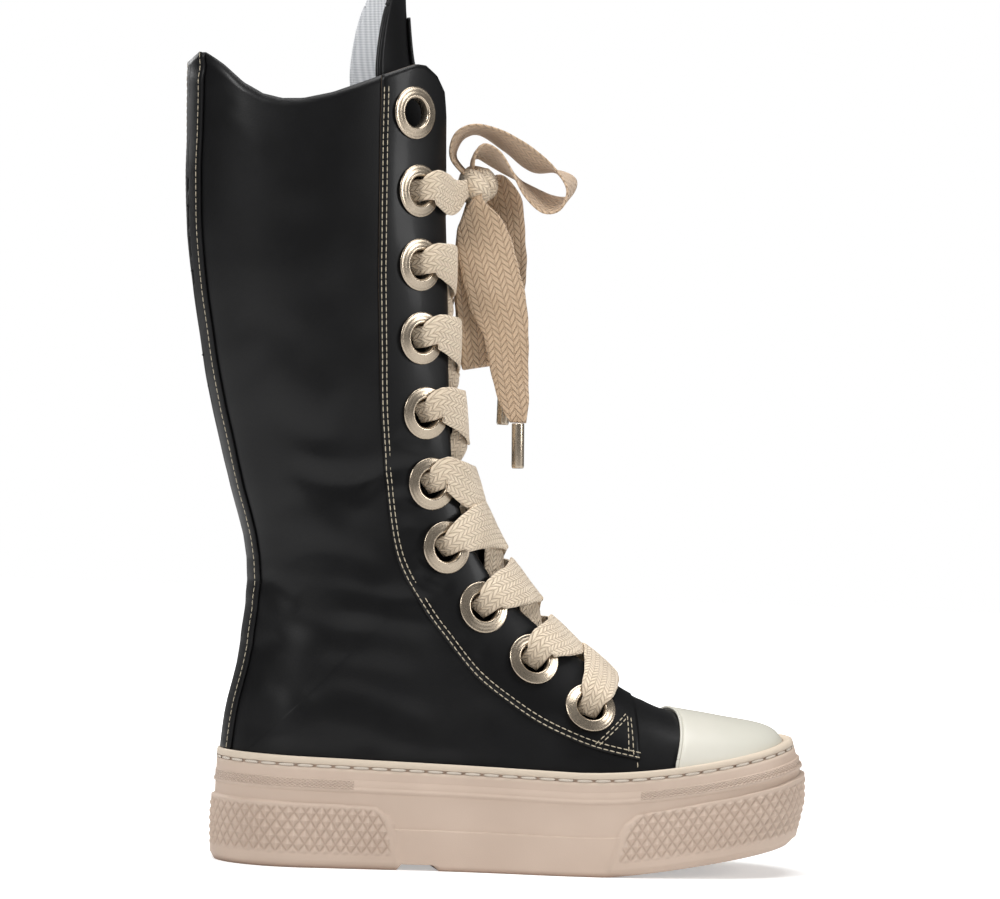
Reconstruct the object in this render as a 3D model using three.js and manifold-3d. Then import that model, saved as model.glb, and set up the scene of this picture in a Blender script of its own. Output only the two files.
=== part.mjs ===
// A knee-high lace-up platform sneaker for the right foot, in millimetres.
// +X runs from heel to toe, -Y is the outer (lateral) side and +Z is up. The origin is on the floor,
// under the middle of the sole's length and width.
import * as THREE from "three";
import { mergeVertices } from "three/addons/utils/BufferGeometryUtils.js";
import Module from "manifold-3d";

const wasm = await Module();
wasm.setup();

// Driving sizes of the sole unit
const soleLength = 307;
const ballRise = 52; // rim top above the floor under the ball of the foot
const heelDrop = 4.1; // how much higher the rim is at the heel than at the ball
const ballX = 25; // where the rim is lowest
const rimToeRise = 21;
const rimToePower = 1.85;
const rockerX = 40; // the tread leaves the floor in front of this
const toeSpring = 18;
const toeSpringPower = 1.25;
const cupDepth = 9; // from the rim top down to the floor of the cup that holds the upper
const rimWall = 3.4; // how far the rim stands out past the upper
const toeBumper = 4.6; // extra rubber in front of the toe
const treadDepth = 3;
const guardProud = 1.5; // the heel and toe guards stand out this far
const archGapStart = 0.2964; // shares of the foot's length
const archGapEnd = 0.3622;
const slotLength = 4;
const slotEdge = 9; // the slots end this far from the sole's edge

// Driving sizes of the upper
const footLength = 288.5;
const ballWidth = 100;
const shaftRise = 348;
const wall = 1.8;
const facingProud = 1.3; // the eyestay is a second layer of leather
const capThickness = 1.8;
const stayThickness = 1.4;
const stayWidth = 26;
const fit = 0.3; // running gap between pieces that touch
const twistTop = THREE.MathUtils.degToRad(10);
const twistArm = 66; // from the shaft's axis to its front and back lines
const shaftAxisX = -78; // the shaft's axis at the ankle
const shaftLean = 0.12;
const toeRound = 55;
const toePower = 2.3;
const toeSway = 6;
const collarPeak = 404;
const collarDip = 23;
const collarDepth = 137;
const collarBack = -181;

// Driving sizes of the trim
const insoleThickness = 4;
const tongueThickness = 3;
const eyeletHole = 7.4;
const eyeletFlange = 13.2;
const eyeletThickness = 1.7;
const eyeletBarrelWall = 0.9;
const eyeletSides = 10;
const laceWidth = 27;
const laceThickness = 1.8;
const firstLaced = 2; // the first eyelet with a crossing
const strandStep = 2.3; // at the throat the inner side's strands lie this far under the outer side's
const agletRadius = 3.2;
const agletLength = 23;
const patchThickness = 1.6;

const upperBack = -soleLength / 2 + 6;
const upperTip = upperBack + footLength;

// The height of the rim's top edge and of the tread, along the shoe.
function rimTop(x) {
  if (x < ballX) return ballRise + (heelDrop * (ballX - x)) / (ballX - upperBack);
  return ballRise + rimToeRise * Math.pow((x - ballX) / (soleLength / 2 - ballX), rimToePower);
}
function treadLevel(x) {
  if (x < rockerX) return 0;
  return toeSpring * Math.pow((x - rockerX) / (soleLength / 2 - rockerX), toeSpringPower);
}
const cupFloor = (x) => rimTop(x) - cupDepth;

// Sections of the upper, from the toe tip round the instep to above the collar. Each runs from its top
// point to its base point. Lengths are shares: "along" of the foot's length from the heel, "up" of the
// shaft's rise above the cup floor, the outer and inner half widths and heelRound of the ball's width.
// crown is the share of the section over which its front rounds off, and square its exponent.
const sections = [
  { topAlong: 1.0, topUp: 0.012, baseAlong: 1.0, baseUp: 0, outer: 0.45, inner: 0.46,
    crown: 1, square: 2.5, heelRound: 0.38 },
  { topAlong: 0.972, topUp: 0.044, baseAlong: 0.962, baseUp: 0, outer: 0.455, inner: 0.465,
    crown: 1, square: 2.5, heelRound: 0.38 },
  { topAlong: 0.879, topUp: 0.075, baseAlong: 0.861, baseUp: 0, outer: 0.465, inner: 0.475,
    crown: 1, square: 2.4, heelRound: 0.38 },
  { topAlong: 0.764, topUp: 0.109, baseAlong: 0.737, baseUp: 0, outer: 0.495, inner: 0.485,
    crown: 1, square: 2.3, heelRound: 0.38 },
  { topAlong: 0.667, topUp: 0.163, baseAlong: 0.588, baseUp: 0, outer: 0.475, inner: 0.43,
    crown: 0.85, square: 2.2, heelRound: 0.38 },
  { topAlong: 0.574, topUp: 0.235, baseAlong: 0.407, baseUp: 0, outer: 0.385, inner: 0.345,
    crown: 0.62, square: 2.1, heelRound: 0.38 },
  { topAlong: 0.504, topUp: 0.308, baseAlong: 0.199, baseUp: 0, outer: 0.36, inner: 0.345,
    crown: 0.46, square: 2, heelRound: 0.38 },
  { topAlong: 0.459, topUp: 0.376, baseAlong: 0.026, baseUp: 0, outer: 0.35, inner: 0.35,
    crown: 0.38, square: 2, heelRound: 0.38 },
  { topAlong: 0.449, topUp: 0.4, baseAlong: 0, baseUp: 0, outer: 0.347, inner: 0.347,
    crown: 0.38, square: 2, heelRound: 0.38 },
  { topAlong: 0.438, topUp: 0.427, baseAlong: 0.004, baseUp: 0.072, outer: 0.345, inner: 0.345,
    crown: 0.38, square: 2, heelRound: 0.4 },
  { topAlong: 0.421, topUp: 0.487, baseAlong: 0.026, baseUp: 0.175, outer: 0.34, inner: 0.34,
    crown: 0.42, square: 2, heelRound: 0.44 },
  { topAlong: 0.406, topUp: 0.564, baseAlong: 0.033, baseUp: 0.302, outer: 0.355, inner: 0.355,
    crown: 0.46, square: 2, heelRound: 0.5 },
  { topAlong: 0.392, topUp: 0.659, baseAlong: -0.016, baseUp: 0.44, outer: 0.39, inner: 0.39,
    crown: 0.48, square: 2, heelRound: 0.58 },
  { topAlong: 0.378, topUp: 0.771, baseAlong: -0.064, baseUp: 0.6, outer: 0.43, inner: 0.43,
    crown: 0.5, square: 2, heelRound: 0.64 },
  { topAlong: 0.367, topUp: 0.897, baseAlong: -0.099, baseUp: 0.764, outer: 0.455, inner: 0.455,
    crown: 0.5, square: 2, heelRound: 0.67 },
  { topAlong: 0.36, topUp: 1.038, baseAlong: -0.111, baseUp: 0.957, outer: 0.465, inner: 0.465,
    crown: 0.5, square: 2, heelRound: 0.68 },
  { topAlong: 0.357, topUp: 1.193, baseAlong: -0.113, baseUp: 1.181, outer: 0.465, inner: 0.465,
    crown: 0.5, square: 2, heelRound: 0.68 },
];
const lastSection = sections.length - 1;
const firstHeelSection = 8; // from here on a section ends on the back line
const noseStations = [0, 0.06, 0.2, 0.45, 0.75];
const heelStations = [7, 7.35, 7.65, 7.85];
const shaftStart = 10; // from this section up the form is plain enough for wider steps
const sideSteps = 9;
const baseGap = 0.5; // between the upper's lower edge and the cup's floor

// The collar in the side view: along is a share of the collar's depth from the back, drop of its dip.
const collarLine = [
  { along: -0.1, drop: 0.5 },
  { along: 0, drop: 0.26 },
  { along: 0.04, drop: 0 },
  { along: 0.106, drop: 0.29 },
  { along: 0.177, drop: 0.665 },
  { along: 0.247, drop: 0.896 },
  { along: 0.318, drop: 0.987 },
  { along: 0.393, drop: 0.965 },
  { along: 0.503, drop: 0.796 },
  { along: 0.655, drop: 0.426 },
  { along: 0.811, drop: 0.048 },
  { along: 0.85, drop: 0.052 },
  { along: 0.899, drop: 0.243 },
  { along: 0.938, drop: 0.596 },
  { along: 0.949, drop: 1.09 },
];

// The throat in the front view: up is a share of the shaft's rise, gap the half width as a share of the
// ball's width.
const throatLine = [
  { up: 0.115, gap: 0 },
  { up: 0.117, gap: 0.1 },
  { up: 0.133, gap: 0.16 },
  { up: 0.178, gap: 0.2 },
  { up: 0.26, gap: 0.235 },
  { up: 0.4, gap: 0.255 },
  { up: 0.6, gap: 0.265 },
  { up: 0.8, gap: 0.27 },
  { up: 1.25, gap: 0.27 },
];

// The eyestay's sewn rear edge and the eyelets in the side view: along is a share of the foot's length
// from the heel, up of the shaft's rise above the cup floor. An eyelet's proud is how far the lace that
// leaves it stands out past the upper's form at the middle of the throat, and its fall is how far the
// lace has come down there, as a share of the way to the next eyelet.
const facingLine = [
  { along: 0.202, up: 1.1 },
  { along: 0.206, up: 1.011 },
  { along: 0.214, up: 0.76 },
  { along: 0.2235, up: 0.63 },
  { along: 0.235, up: 0.498 },
  { along: 0.268, up: 0.324 },
  { along: 0.322, up: 0.2405 },
  { along: 0.364, up: 0.196 },
  { along: 0.418, up: 0.145 },
  { along: 0.479, up: 0.107 },
  { along: 0.543, up: 0.075 },
  { along: 0.623, up: 0.049 },
  { along: 0.708, up: 0.0335 },
];
const eyeletRows = [
  { along: 0.269, up: 0.952, proud: 0, fall: 0 },
  { along: 0.283, up: 0.8405, proud: 0, fall: 0 },
  { along: 0.2905, up: 0.7345, proud: -5, fall: 0.45 },
  { along: 0.299, up: 0.629, proud: -4.6, fall: 0.6 },
  { along: 0.313, up: 0.5215, proud: -2.6, fall: 0.67 },
  { along: 0.329, up: 0.42, proud: -0.6, fall: 0.8 },
  { along: 0.358, up: 0.329, proud: 1.2, fall: 0.7 },
  { along: 0.4295, up: 0.244, proud: 3, fall: 0.4 },
  { along: 0.5215, up: 0.171, proud: 3.6, fall: 0.45 },
  { along: 0.6215, up: 0.1045, proud: 5.4, fall: 0 },
];

const sideX = (along) => upperBack + along * footLength;
const sideZ = (up) => cupFloor(upperBack) + up * shaftRise;

// A smooth value between a table's rows: row is a whole number and a fraction.
function between(table, column, row) {
  const i = Math.min(Math.max(Math.floor(row), 0), table.length - 2);
  const t = row - i;
  const at = (k) => table[Math.min(Math.max(k, 0), table.length - 1)][column];
  const [a, b, c, d] = [at(i - 1), at(i), at(i + 1), at(i + 2)];
  const curve = (2 * a - 5 * b + 4 * c - d) * t * t + (3 * b - a - 3 * c + d) * t * t * t;
  return b + 0.5 * ((c - a) * t + curve);
}

// A straight-line value from a table that is looked up by one of its columns.
function lookUp(table, from, to, value) {
  for (let i = 1; i < table.length; i++) {
    const [a, b] = [table[i - 1], table[i]];
    if (value <= b[from]) {
      const t = Math.max(0, (value - a[from]) / (b[from] - a[from]));
      return a[to] + t * (b[to] - a[to]);
    }
  }
  return table[table.length - 1][to];
}

function rounding(distance, radius, power) {
  const t = Math.min(Math.max(distance / radius, 0), 1);
  return Math.pow(1 - Math.pow(1 - t, power), 1 / power);
}
const smooth = (t) => {
  const k = Math.min(Math.max(t, 0), 1);
  return k * k * (3 - 2 * k);
};

// The back line of the heel and shaft, as x for a height.
const backRows = [];
for (let u = firstHeelSection; u <= lastSection + 0.01; u += 0.25) {
  const x = sideX(between(sections, "baseAlong", u));
  const rise = u === firstHeelSection ? 0 : Math.max(0, between(sections, "baseUp", u));
  backRows.push({ z: cupFloor(x) + baseGap + rise * shaftRise, x });
}
const backX = (z) => lookUp(backRows, "z", "x", z);

// The shaft turns a little towards the outer side as it rises.
const ankleZ = 0.22 * shaftRise + ballRise;
const twist = (z) => twistTop * smooth((z - ankleZ) / (collarPeak - ankleZ));
const shaftAxis = (z) => shaftAxisX - shaftLean * (z - ankleZ);
const sway = (x) => toeSway * smooth((x - ballX) / (upperTip - ballX));

// The two ends of a section in the side view.
function sectionEnds(u) {
  const topX = sideX(between(sections, "topAlong", u));
  const baseX = sideX(between(sections, "baseAlong", u));
  const rise = u <= firstHeelSection ? 0 : Math.max(0, between(sections, "baseUp", u));
  return {
    topX,
    baseX,
    topZ: cupFloor(topX) + between(sections, "topUp", u) * shaftRise,
    baseZ: cupFloor(baseX) + baseGap + rise * shaftRise,
  };
}

// The half width of the upper at a place in its side view.
function halfWidth(u, v, x, z, side) {
  const { topX, baseX, topZ, baseZ } = sectionEnds(u);
  const long = Math.hypot(topX - baseX, topZ - baseZ);
  const half = between(sections, side < 0 ? "outer" : "inner", u) * ballWidth;
  const front = rounding(v * long, between(sections, "crown", u) * long, between(sections, "square", u));
  const heel = rounding(x - backX(z), between(sections, "heelRound", u) * ballWidth, 2);
  const toe = rounding(upperTip - x, toeRound, toePower);
  return half * front * (v > 0.99999 && u > firstHeelSection - 0.01 ? 0 : heel) * toe;
}

// The outer surface of the upper. u is the section, s runs from the top line (0) to the base (1), and
// side is -1 for the outer half and 1 for the inner half.
function surface(u, s, side) {
  const v = (1 - Math.cos(Math.PI * Math.abs(s))) / 2;
  const { topX, baseX, topZ, baseZ } = sectionEnds(u);
  const x = topX + v * (baseX - topX);
  const z = topZ + v * (baseZ - topZ);
  const y = side * Math.sign(s || 1) * halfWidth(u, v, x, z, side * Math.sign(s || 1)) + sway(x);
  const angle = twist(z);
  const axis = shaftAxis(z);
  const [c, n] = [Math.cos(angle), Math.sin(angle)];
  return new THREE.Vector3(axis + (x - axis) * c - y * n, (x - axis) * n + y * c, z);
}

// The outward direction of that surface, from points a little way off along both parameters.
const normalStep = 0.012;
function normalAt(u, s, side) {
  const h = normalStep;
  const before = surface(Math.max(u - h, 0), s, side);
  const along = surface(Math.min(u + h, lastSection), s, side).sub(before);
  let across;
  if (s + h > 1 && u > firstHeelSection - 0.01) {
    across = surface(u, 1 - h, -side).sub(surface(u, 1 - h, side));
  } else {
    across = surface(u, Math.min(s + h, 1), side).sub(surface(u, Math.min(s, 1 - h) - h, side));
  }
  const normal = along.cross(across).normalize();
  const middle = surface(u, 0, 1).lerp(surface(u, 1, 1), 0.5);
  middle.set(middle.x - Math.max(0, 1 - u) * toeRound, sway(middle.x), middle.z);
  const out = surface(u, s, side).sub(middle);
  return normal.dot(out) < 0 ? normal.negate() : normal;
}
const offsetPoint = (u, s, side, offset) =>
  surface(u, s, side).addScaledVector(normalAt(u, s, side), offset);

// A closed body from corner points and triangles, with doubled points merged.
function bodyOf(points, triangles) {
  const geometry = new THREE.BufferGeometry();
  const places = points.flatMap((p) => [p.x, p.y, p.z]);
  geometry.setAttribute("position", new THREE.Float32BufferAttribute(places, 3));
  geometry.setIndex(triangles.flat());
  return solidOf(geometry);
}
function solidOf(geometry) {
  const bare = geometry.clone();
  bare.deleteAttribute("normal");
  bare.deleteAttribute("uv");
  const merged = mergeVertices(bare, 1e-4);
  const index = merged.index.array;
  const kept = [];
  for (let i = 0; i < index.length; i += 3) {
    const [a, b, c] = [index[i], index[i + 1], index[i + 2]];
    if (a !== b && b !== c && c !== a) kept.push(a, b, c);
  }
  const mesh = new wasm.Mesh({
    numProp: 3,
    vertProperties: new Float32Array(merged.attributes.position.array),
    triVerts: new Uint32Array(kept),
  });
  return new wasm.Manifold(mesh);
}
function geometryOf(solid) {
  const mesh = solid.getMesh();
  const geometry = new THREE.BufferGeometry();
  const points = [];
  for (let i = 0; i < mesh.numVert; i++) {
    const start = i * mesh.numProp;
    points.push(...mesh.vertProperties.slice(start, start + 3));
  }
  geometry.setAttribute("position", new THREE.Float32BufferAttribute(points, 3));
  geometry.setIndex(Array.from(mesh.triVerts));
  geometry.computeVertexNormals();
  return geometry;
}

// A skin between closed rings of points with the same count, with its two end rings closed by strips
// that join each point to the one opposite.
function loft(rings) {
  const count = rings[0].length;
  const triangles = [];
  rings.slice(1).forEach((_, r) => {
    for (let i = 0; i < count; i++) {
      const [a, b] = [r * count + i, r * count + ((i + 1) % count)];
      triangles.push([a, b, b + count], [a, b + count, a + count]);
    }
  });
  const cap = (start, flip) => {
    for (let i = 0; i < count / 2 - 1; i++) {
      const [a, b, c, d] = [start + i, start + i + 1, start + count - 2 - i, start + count - 1 - i];
      const faces = [[a, c, b], [a, d, c]];
      triangles.push(...faces.map((f) => (flip ? [f[0], f[2], f[1]] : f)));
    }
  };
  cap(0, false);
  cap((rings.length - 1) * count, true);
  return bodyOf(rings.flat(), triangles);
}

// The upper's form grown or shrunk by an offset, as a solid. drop lowers its base.
function lastForm(offset, drop) {
  const stations = [...noseStations];
  for (let u = 1; u < heelStations[0]; u += 0.5) stations.push(u);
  stations.push(...heelStations);
  for (let u = firstHeelSection; u <= lastSection + 0.01; u += u < shaftStart ? 0.5 : 1) stations.push(u);
  const rings = stations.map((u) => {
    const ring = [];
    for (const side of [-1, 1]) {
      for (let k = 0; k <= sideSteps; k++) {
        const j = side < 0 ? k : sideSteps - k;
        const p = offsetPoint(u, j / sideSteps, side, offset);
        if (j === sideSteps && u <= firstHeelSection) p.z -= drop;
        ring.push(p);
      }
    }
    return ring;
  });
  return loft(rings.map((ring) => ring.reverse()));
}

// A slab whose outline is drawn in the side view (x, z) and which reaches from y = from to y = to.
function sideSlab(outline, from, to) {
  const shape = new THREE.Shape(outline.map(([x, z]) => new THREE.Vector2(x, z)));
  const geometry = new THREE.ExtrudeGeometry(shape, { depth: to - from, bevelEnabled: false });
  geometry.rotateX(Math.PI / 2);
  geometry.translate(0, to, 0);
  return solidOf(geometry);
}
// A slab whose outline is drawn in the front view (y, z) and which reaches from x = from to x = to.
function frontSlab(outline, from, to) {
  const shape = new THREE.Shape(outline.map(([y, z]) => new THREE.Vector2(y, z)));
  const geometry = new THREE.ExtrudeGeometry(shape, { depth: to - from, bevelEnabled: false });
  geometry.rotateX(Math.PI / 2);
  geometry.rotateZ(Math.PI / 2);
  geometry.translate(from, 0, 0);
  return solidOf(geometry);
}

const farSide = 120;
const farUp = 520;

function collarCutter() {
  const line = collarLine.map((row) => [
    collarBack + row.along * collarDepth,
    collarPeak - row.drop * collarDip,
  ]);
  const ahead = [[40, collarPeak - 1.4 * collarDip], [40, farUp]];
  const behind = [[-260, farUp], [-260, line[0][1]]];
  return sideSlab([...line, ...ahead, ...behind], -farSide, farSide);
}

const throatSlabFrom = -85;
const throatSlabTo = 160;
const throatCentre = (z) => Math.sin(twist(z)) * twistArm;
function throatCutter() {
  const rows = throatLine.map((row) => ({ z: sideZ(row.up), gap: row.gap * ballWidth }));
  const outer = rows.map(({ z, gap }) => [throatCentre(z) - gap, z]);
  const inner = rows.map(({ z, gap }) => [throatCentre(z) + gap, z]).reverse();
  return frontSlab([...outer, ...inner.slice(0, -1)], throatSlabFrom, throatSlabTo);
}

function facingOutline(frontX) {
  const line = facingLine.map((row) => [sideX(row.along), sideZ(row.up)]);
  const end = line[line.length - 1];
  return [...line, [frontX, end[1]], [frontX, 105], [60, 150], [0, 260], [0, farUp], [line[0][0], farUp]];
}

// Where the side view meets the surface: the point, and the direction out of the leather.
function sidePoint(x, z, side) {
  let plain = x;
  let found = { u: 0, v: 0, y: 0 };
  for (let turn = 0; turn < 8; turn++) {
    found = sectionThrough(plain, z, side);
    const angle = twist(z);
    const axis = shaftAxis(z);
    plain = axis + (x - axis + found.y * Math.sin(angle)) / Math.cos(angle);
  }
  const s = Math.acos(1 - 2 * Math.min(Math.max(found.v, 0), 1)) / Math.PI;
  return { point: surface(found.u, s, side), normal: normalAt(found.u, s, side), u: found.u, s };
}
function sectionThrough(x, z, side) {
  const sideOf = (u) => {
    const e = sectionEnds(u);
    return (e.baseX - e.topX) * (z - e.topZ) - (e.baseZ - e.topZ) * (x - e.topX);
  };
  let low = 0.01;
  let high = lastSection;
  const rising = sideOf(high) > sideOf(low);
  for (let turn = 0; turn < 40; turn++) {
    const mid = (low + high) / 2;
    if (sideOf(mid) > 0 === rising) high = mid;
    else low = mid;
  }
  const e = sectionEnds(low);
  const v = ((x - e.topX) * (e.baseX - e.topX) + (z - e.topZ) * (e.baseZ - e.topZ)) /
    ((e.baseX - e.topX) ** 2 + (e.baseZ - e.topZ) ** 2);
  return { u: low, v, y: side * halfWidth(low, v, x, z, side) + sway(x) };
}

// The upper: one hollow wall, with the eyestay as a raised layer, cut open at the collar, the throat,
// the eyelets and underneath.
function eyeletHoleCutter(seat) {
  const radius = eyeletHole + eyeletBarrelWall + fit;
  const shaft = new THREE.CylinderGeometry(radius, radius, 16, eyeletSides);
  shaft.applyMatrix4(seat.matrix);
  return solidOf(shaft);
}

// An eyelet's seat: its middle on the eyestay's face, lifted until its flat flange clears the leather.
const seatReach = eyeletFlange - 1;
function eyeletSeat(row, side) {
  const x = sideX(row.along);
  const z = sideZ(row.up);
  const middle = sidePoint(x, z, side);
  let lift = 0;
  for (let k = 0; k < 8; k++) {
    const angle = (k * Math.PI) / 4;
    const near = sidePoint(x + seatReach * Math.cos(angle), z + seatReach * Math.sin(angle), side);
    lift = Math.max(lift, near.point.clone().sub(middle.point).dot(middle.normal));
  }
  const face = middle.point.clone().addScaledVector(middle.normal, facingProud + lift);
  const turn = new THREE.Quaternion().setFromUnitVectors(new THREE.Vector3(0, 1, 0), middle.normal);
  const matrix = new THREE.Matrix4().compose(face, turn, new THREE.Vector3(1, 1, 1));
  const proud = row.proud - (side > 0 ? strandStep : 0);
  return { face, normal: middle.normal, matrix, u: middle.u, s: middle.s, side, proud, fall: row.fall };
}
const seats = {
  outer: eyeletRows.map((row) => eyeletSeat(row, -1)),
  inner: eyeletRows.map((row) => eyeletSeat(row, 1)),
};
const allSeats = [...seats.outer, ...seats.inner];

const collar = collarCutter();
const throat = throatCutter();

function upperSolid() {
  const facingX = sideX(facingLine[facingLine.length - 1].along);
  const eyestay = lastForm(facingProud, 0).intersect(sideSlab(facingOutline(facingX), -farSide, farSide));
  let upper = lastForm(0, 0).add(eyestay).subtract(lastForm(-wall, 14)).subtract(collar).subtract(throat);
  allSeats.forEach((seat) => (upper = upper.subtract(eyeletHoleCutter(seat))));
  return upper;
}

// A layer over the upper between a running gap and its thickness.
const layer = (thickness) => lastForm(fit + thickness, 0).subtract(lastForm(fit, 10));

// The rubber toe cap, from its edge line forward and from the rim up.
const capEdge = [
  { along: 0.769, up: -0.02 },
  { along: 0.776, up: 0.03 },
  { along: 0.786, up: 0.06 },
  { along: 0.806, up: 0.13 },
];
function aboveRim(from, to, top) {
  const outline = [];
  for (let k = 0; k <= 12; k++) {
    const x = from + ((to - from) * k) / 12;
    outline.push([x, rimTop(x) + fit]);
  }
  return [...outline, [to, top], [from, top]];
}
function toeCap() {
  const edge = capEdge.map((row) => [sideX(row.along), sideZ(row.up)]);
  const ahead = sideSlab([...edge, [200, edge[3][1]], [200, edge[0][1]]], -farSide, farSide);
  const above = sideSlab(aboveRim(50, 180, 140), -farSide, farSide);
  return layer(capThickness).intersect(ahead).intersect(above);
}

// The strip that covers the back seam, from the rim to the collar.
const stayCentre = (z) => -Math.sin(twist(z)) * twistArm;
function backStay() {
  const heights = [];
  for (let z = 20; z <= farUp; z += 20) heights.push(z);
  const outer = heights.map((z) => [stayCentre(z) - stayWidth / 2, z]);
  const inner = heights.map((z) => [stayCentre(z) + stayWidth / 2, z]).reverse();
  const outline = [...outer, ...inner];
  const strip = frontSlab(outline, -220, -100);
  const above = sideSlab(aboveRim(-240, -80, farUp), -farSide, farSide);
  return layer(stayThickness).intersect(strip).intersect(above).subtract(collar);
}

// The sole's edge line: pairs of outer and inner points from heel to toe, grown by an offset.
const edgeSteps = 24;
function soleEdge(offset, bumper) {
  const from = upperBack;
  const to = upperTip;
  const sample = (x, side) => {
    const u = stationAtBase(x);
    return sway(x) + side * halfWidth(u, 0.99, x, cupFloor(x), side);
  };
  const line = [];
  for (let k = 0; k <= edgeSteps; k++) {
    const x = (from + to) / 2 - ((to - from) / 2) * Math.cos((Math.PI * k) / edgeSteps);
    line.push({ x, outer: sample(x, -1), inner: sample(x, 1) });
  }
  return growEdge(line, offset, bumper);
}
function stationAtBase(x) {
  let low = 0;
  let high = firstHeelSection + 1;
  for (let turn = 0; turn < 30; turn++) {
    const mid = (low + high) / 2;
    if (sideX(between(sections, "baseAlong", mid)) > x) low = mid;
    else high = mid;
  }
  return low;
}
// Moves each point of a ring outwards by the offset, and those in front of the toe by the bumper too.
function growEdge(line, offset, bumper) {
  const back = line.slice(1, -1).reverse();
  const ring = [...line.map((p) => [p.x, p.outer]), ...back.map((p) => [p.x, p.inner])];
  return ring.map(([x, y], i) => {
    const before = ring[(i + ring.length - 1) % ring.length];
    const after = ring[(i + 1) % ring.length];
    const [dx, dy] = [after[0] - before[0], after[1] - before[1]];
    const long = Math.hypot(dx, dy);
    const grow = offset + bumper * smooth((x - 70) / 70);
    return new THREE.Vector3(x + (dy / long) * grow, y - (dx / long) * grow, 0);
  });
}
// A solid through rings that each have a level (a share of the local sole height) and an offset.
function soleLoft(levels) {
  const rings = levels.map(({ share, proud, bumper = 1, drop = 0 }) =>
    soleEdge(rimWall + proud, toeBumper * bumper).map((p) => {
      const z = treadLevel(p.x) + share * (rimTop(p.x) - treadLevel(p.x)) - drop;
      return new THREE.Vector3(p.x, p.y, z);
    }),
  );
  return edgeLoft(rings);
}
// A skin through rings of paired points, closed above and below by strips that join the pairs.
function edgeLoft(rings) {
  const count = rings[0].length;
  const triangles = [];
  for (let r = 0; r < rings.length - 1; r++) {
    for (let i = 0; i < count; i++) {
      const [a, b] = [r * count + i, r * count + ((i + 1) % count)];
      triangles.push([a, b, b + count], [a, b + count, a + count]);
    }
  }
  const pair = (k) => (k === 0 ? 0 : k === edgeSteps ? edgeSteps : count - k);
  [0, rings.length - 1].forEach((r) => {
    for (let k = 0; k < edgeSteps; k++) {
      const [a, b] = [r * count + k, r * count + k + 1];
      const [c, d] = [r * count + pair(k + 1), r * count + pair(k)];
      const faces = [[a, c, b], [a, d, c]];
      triangles.push(...faces.map((f) => (r ? [f[0], f[2], f[1]] : f)));
    }
  });
  return bodyOf(rings.flat(), triangles);
}

// The steps of the sole's side from the floor up: share of the local height, how far it stands out past
// the rim, and how much of the toe bumper it has.
const soleSteps = [
  { share: 0, proud: -0.6, bumper: 0.55 },
  { share: 0.045, proud: 0.3, bumper: 0.8 },
  { share: 0.375, proud: 0.9, bumper: 1.45 },
  { share: 0.382, proud: 0.2, bumper: 1.4 },
  { share: 0.7, proud: 0.2, bumper: 1.4 },
  { share: 0.708, proud: 1.0, bumper: 1.45 },
  { share: 0.735, proud: 0.9, bumper: 1.4 },
  { share: 0.742, proud: 0.4, bumper: 1.3 },
  { share: 0.8, proud: 0.4, bumper: 1.2 },
  { share: 0.81, proud: 0, bumper: 1.0 },
  { share: 0.905, proud: 0, bumper: 0.7 },
  { share: 0.915, proud: -0.8, bumper: 0.6 },
  { share: 0.93, proud: -0.8, bumper: 0.6 },
  { share: 0.94, proud: 0, bumper: 0.6 },
  { share: 1, proud: -0.5, bumper: 0.2 },
];

// The side view of a part of the sole's side, from x and shares of the local height.
function sideRegion(rows) {
  return rows.map(({ along, share }) => {
    const x = sideX(along);
    return [x, treadLevel(x) + share * (rimTop(x) - treadLevel(x))];
  });
}
const heelGuardRegion = [
  { along: -0.147, share: 0.03 },
  { along: 0.2964, share: 0.03 },
  { along: 0.2825, share: 0.42 },
  { along: 0.2721, share: 0.5 },
  { along: 0.2513, share: 0.57 },
  { along: 0.1231, share: 0.585 },
  { along: -0.147, share: 0.585 },
];
const toeGuardRegion = [
  { along: 0.6568, share: 0.03 },
  { along: 0.6742, share: 0.4 },
  { along: 0.6846, share: 0.5 },
  { along: 0.7054, share: 0.58 },
  { along: 0.8232, share: 0.62 },
  { along: 0.9619, share: 0.63 },
  { along: 1.17, share: 0.65 },
  { along: 1.17, share: 0.03 },
];
function guard(rows) {
  const steps = [
    { share: 0.02, proud: -0.4, bumper: 0.6 },
    { share: 0.06, proud: guardProud, bumper: 1.0 },
    { share: 0.375, proud: guardProud + 0.7, bumper: 1.6 },
    { share: 0.6, proud: guardProud + 0.4, bumper: 1.6 },
    { share: 0.7, proud: guardProud + 0.2, bumper: 1.6 },
  ];
  return soleLoft(steps).intersect(sideSlab(sideRegion(rows), -farSide, farSide));
}

// The cup that holds the upper, down to its floor.
function cupCutter() {
  const rings = [0, 30].map((up) =>
    soleEdge(fit + 0.35, 0).map((p) => new THREE.Vector3(p.x, p.y, cupFloor(p.x) + up)),
  );
  return edgeLoft(rings);
}
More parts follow.
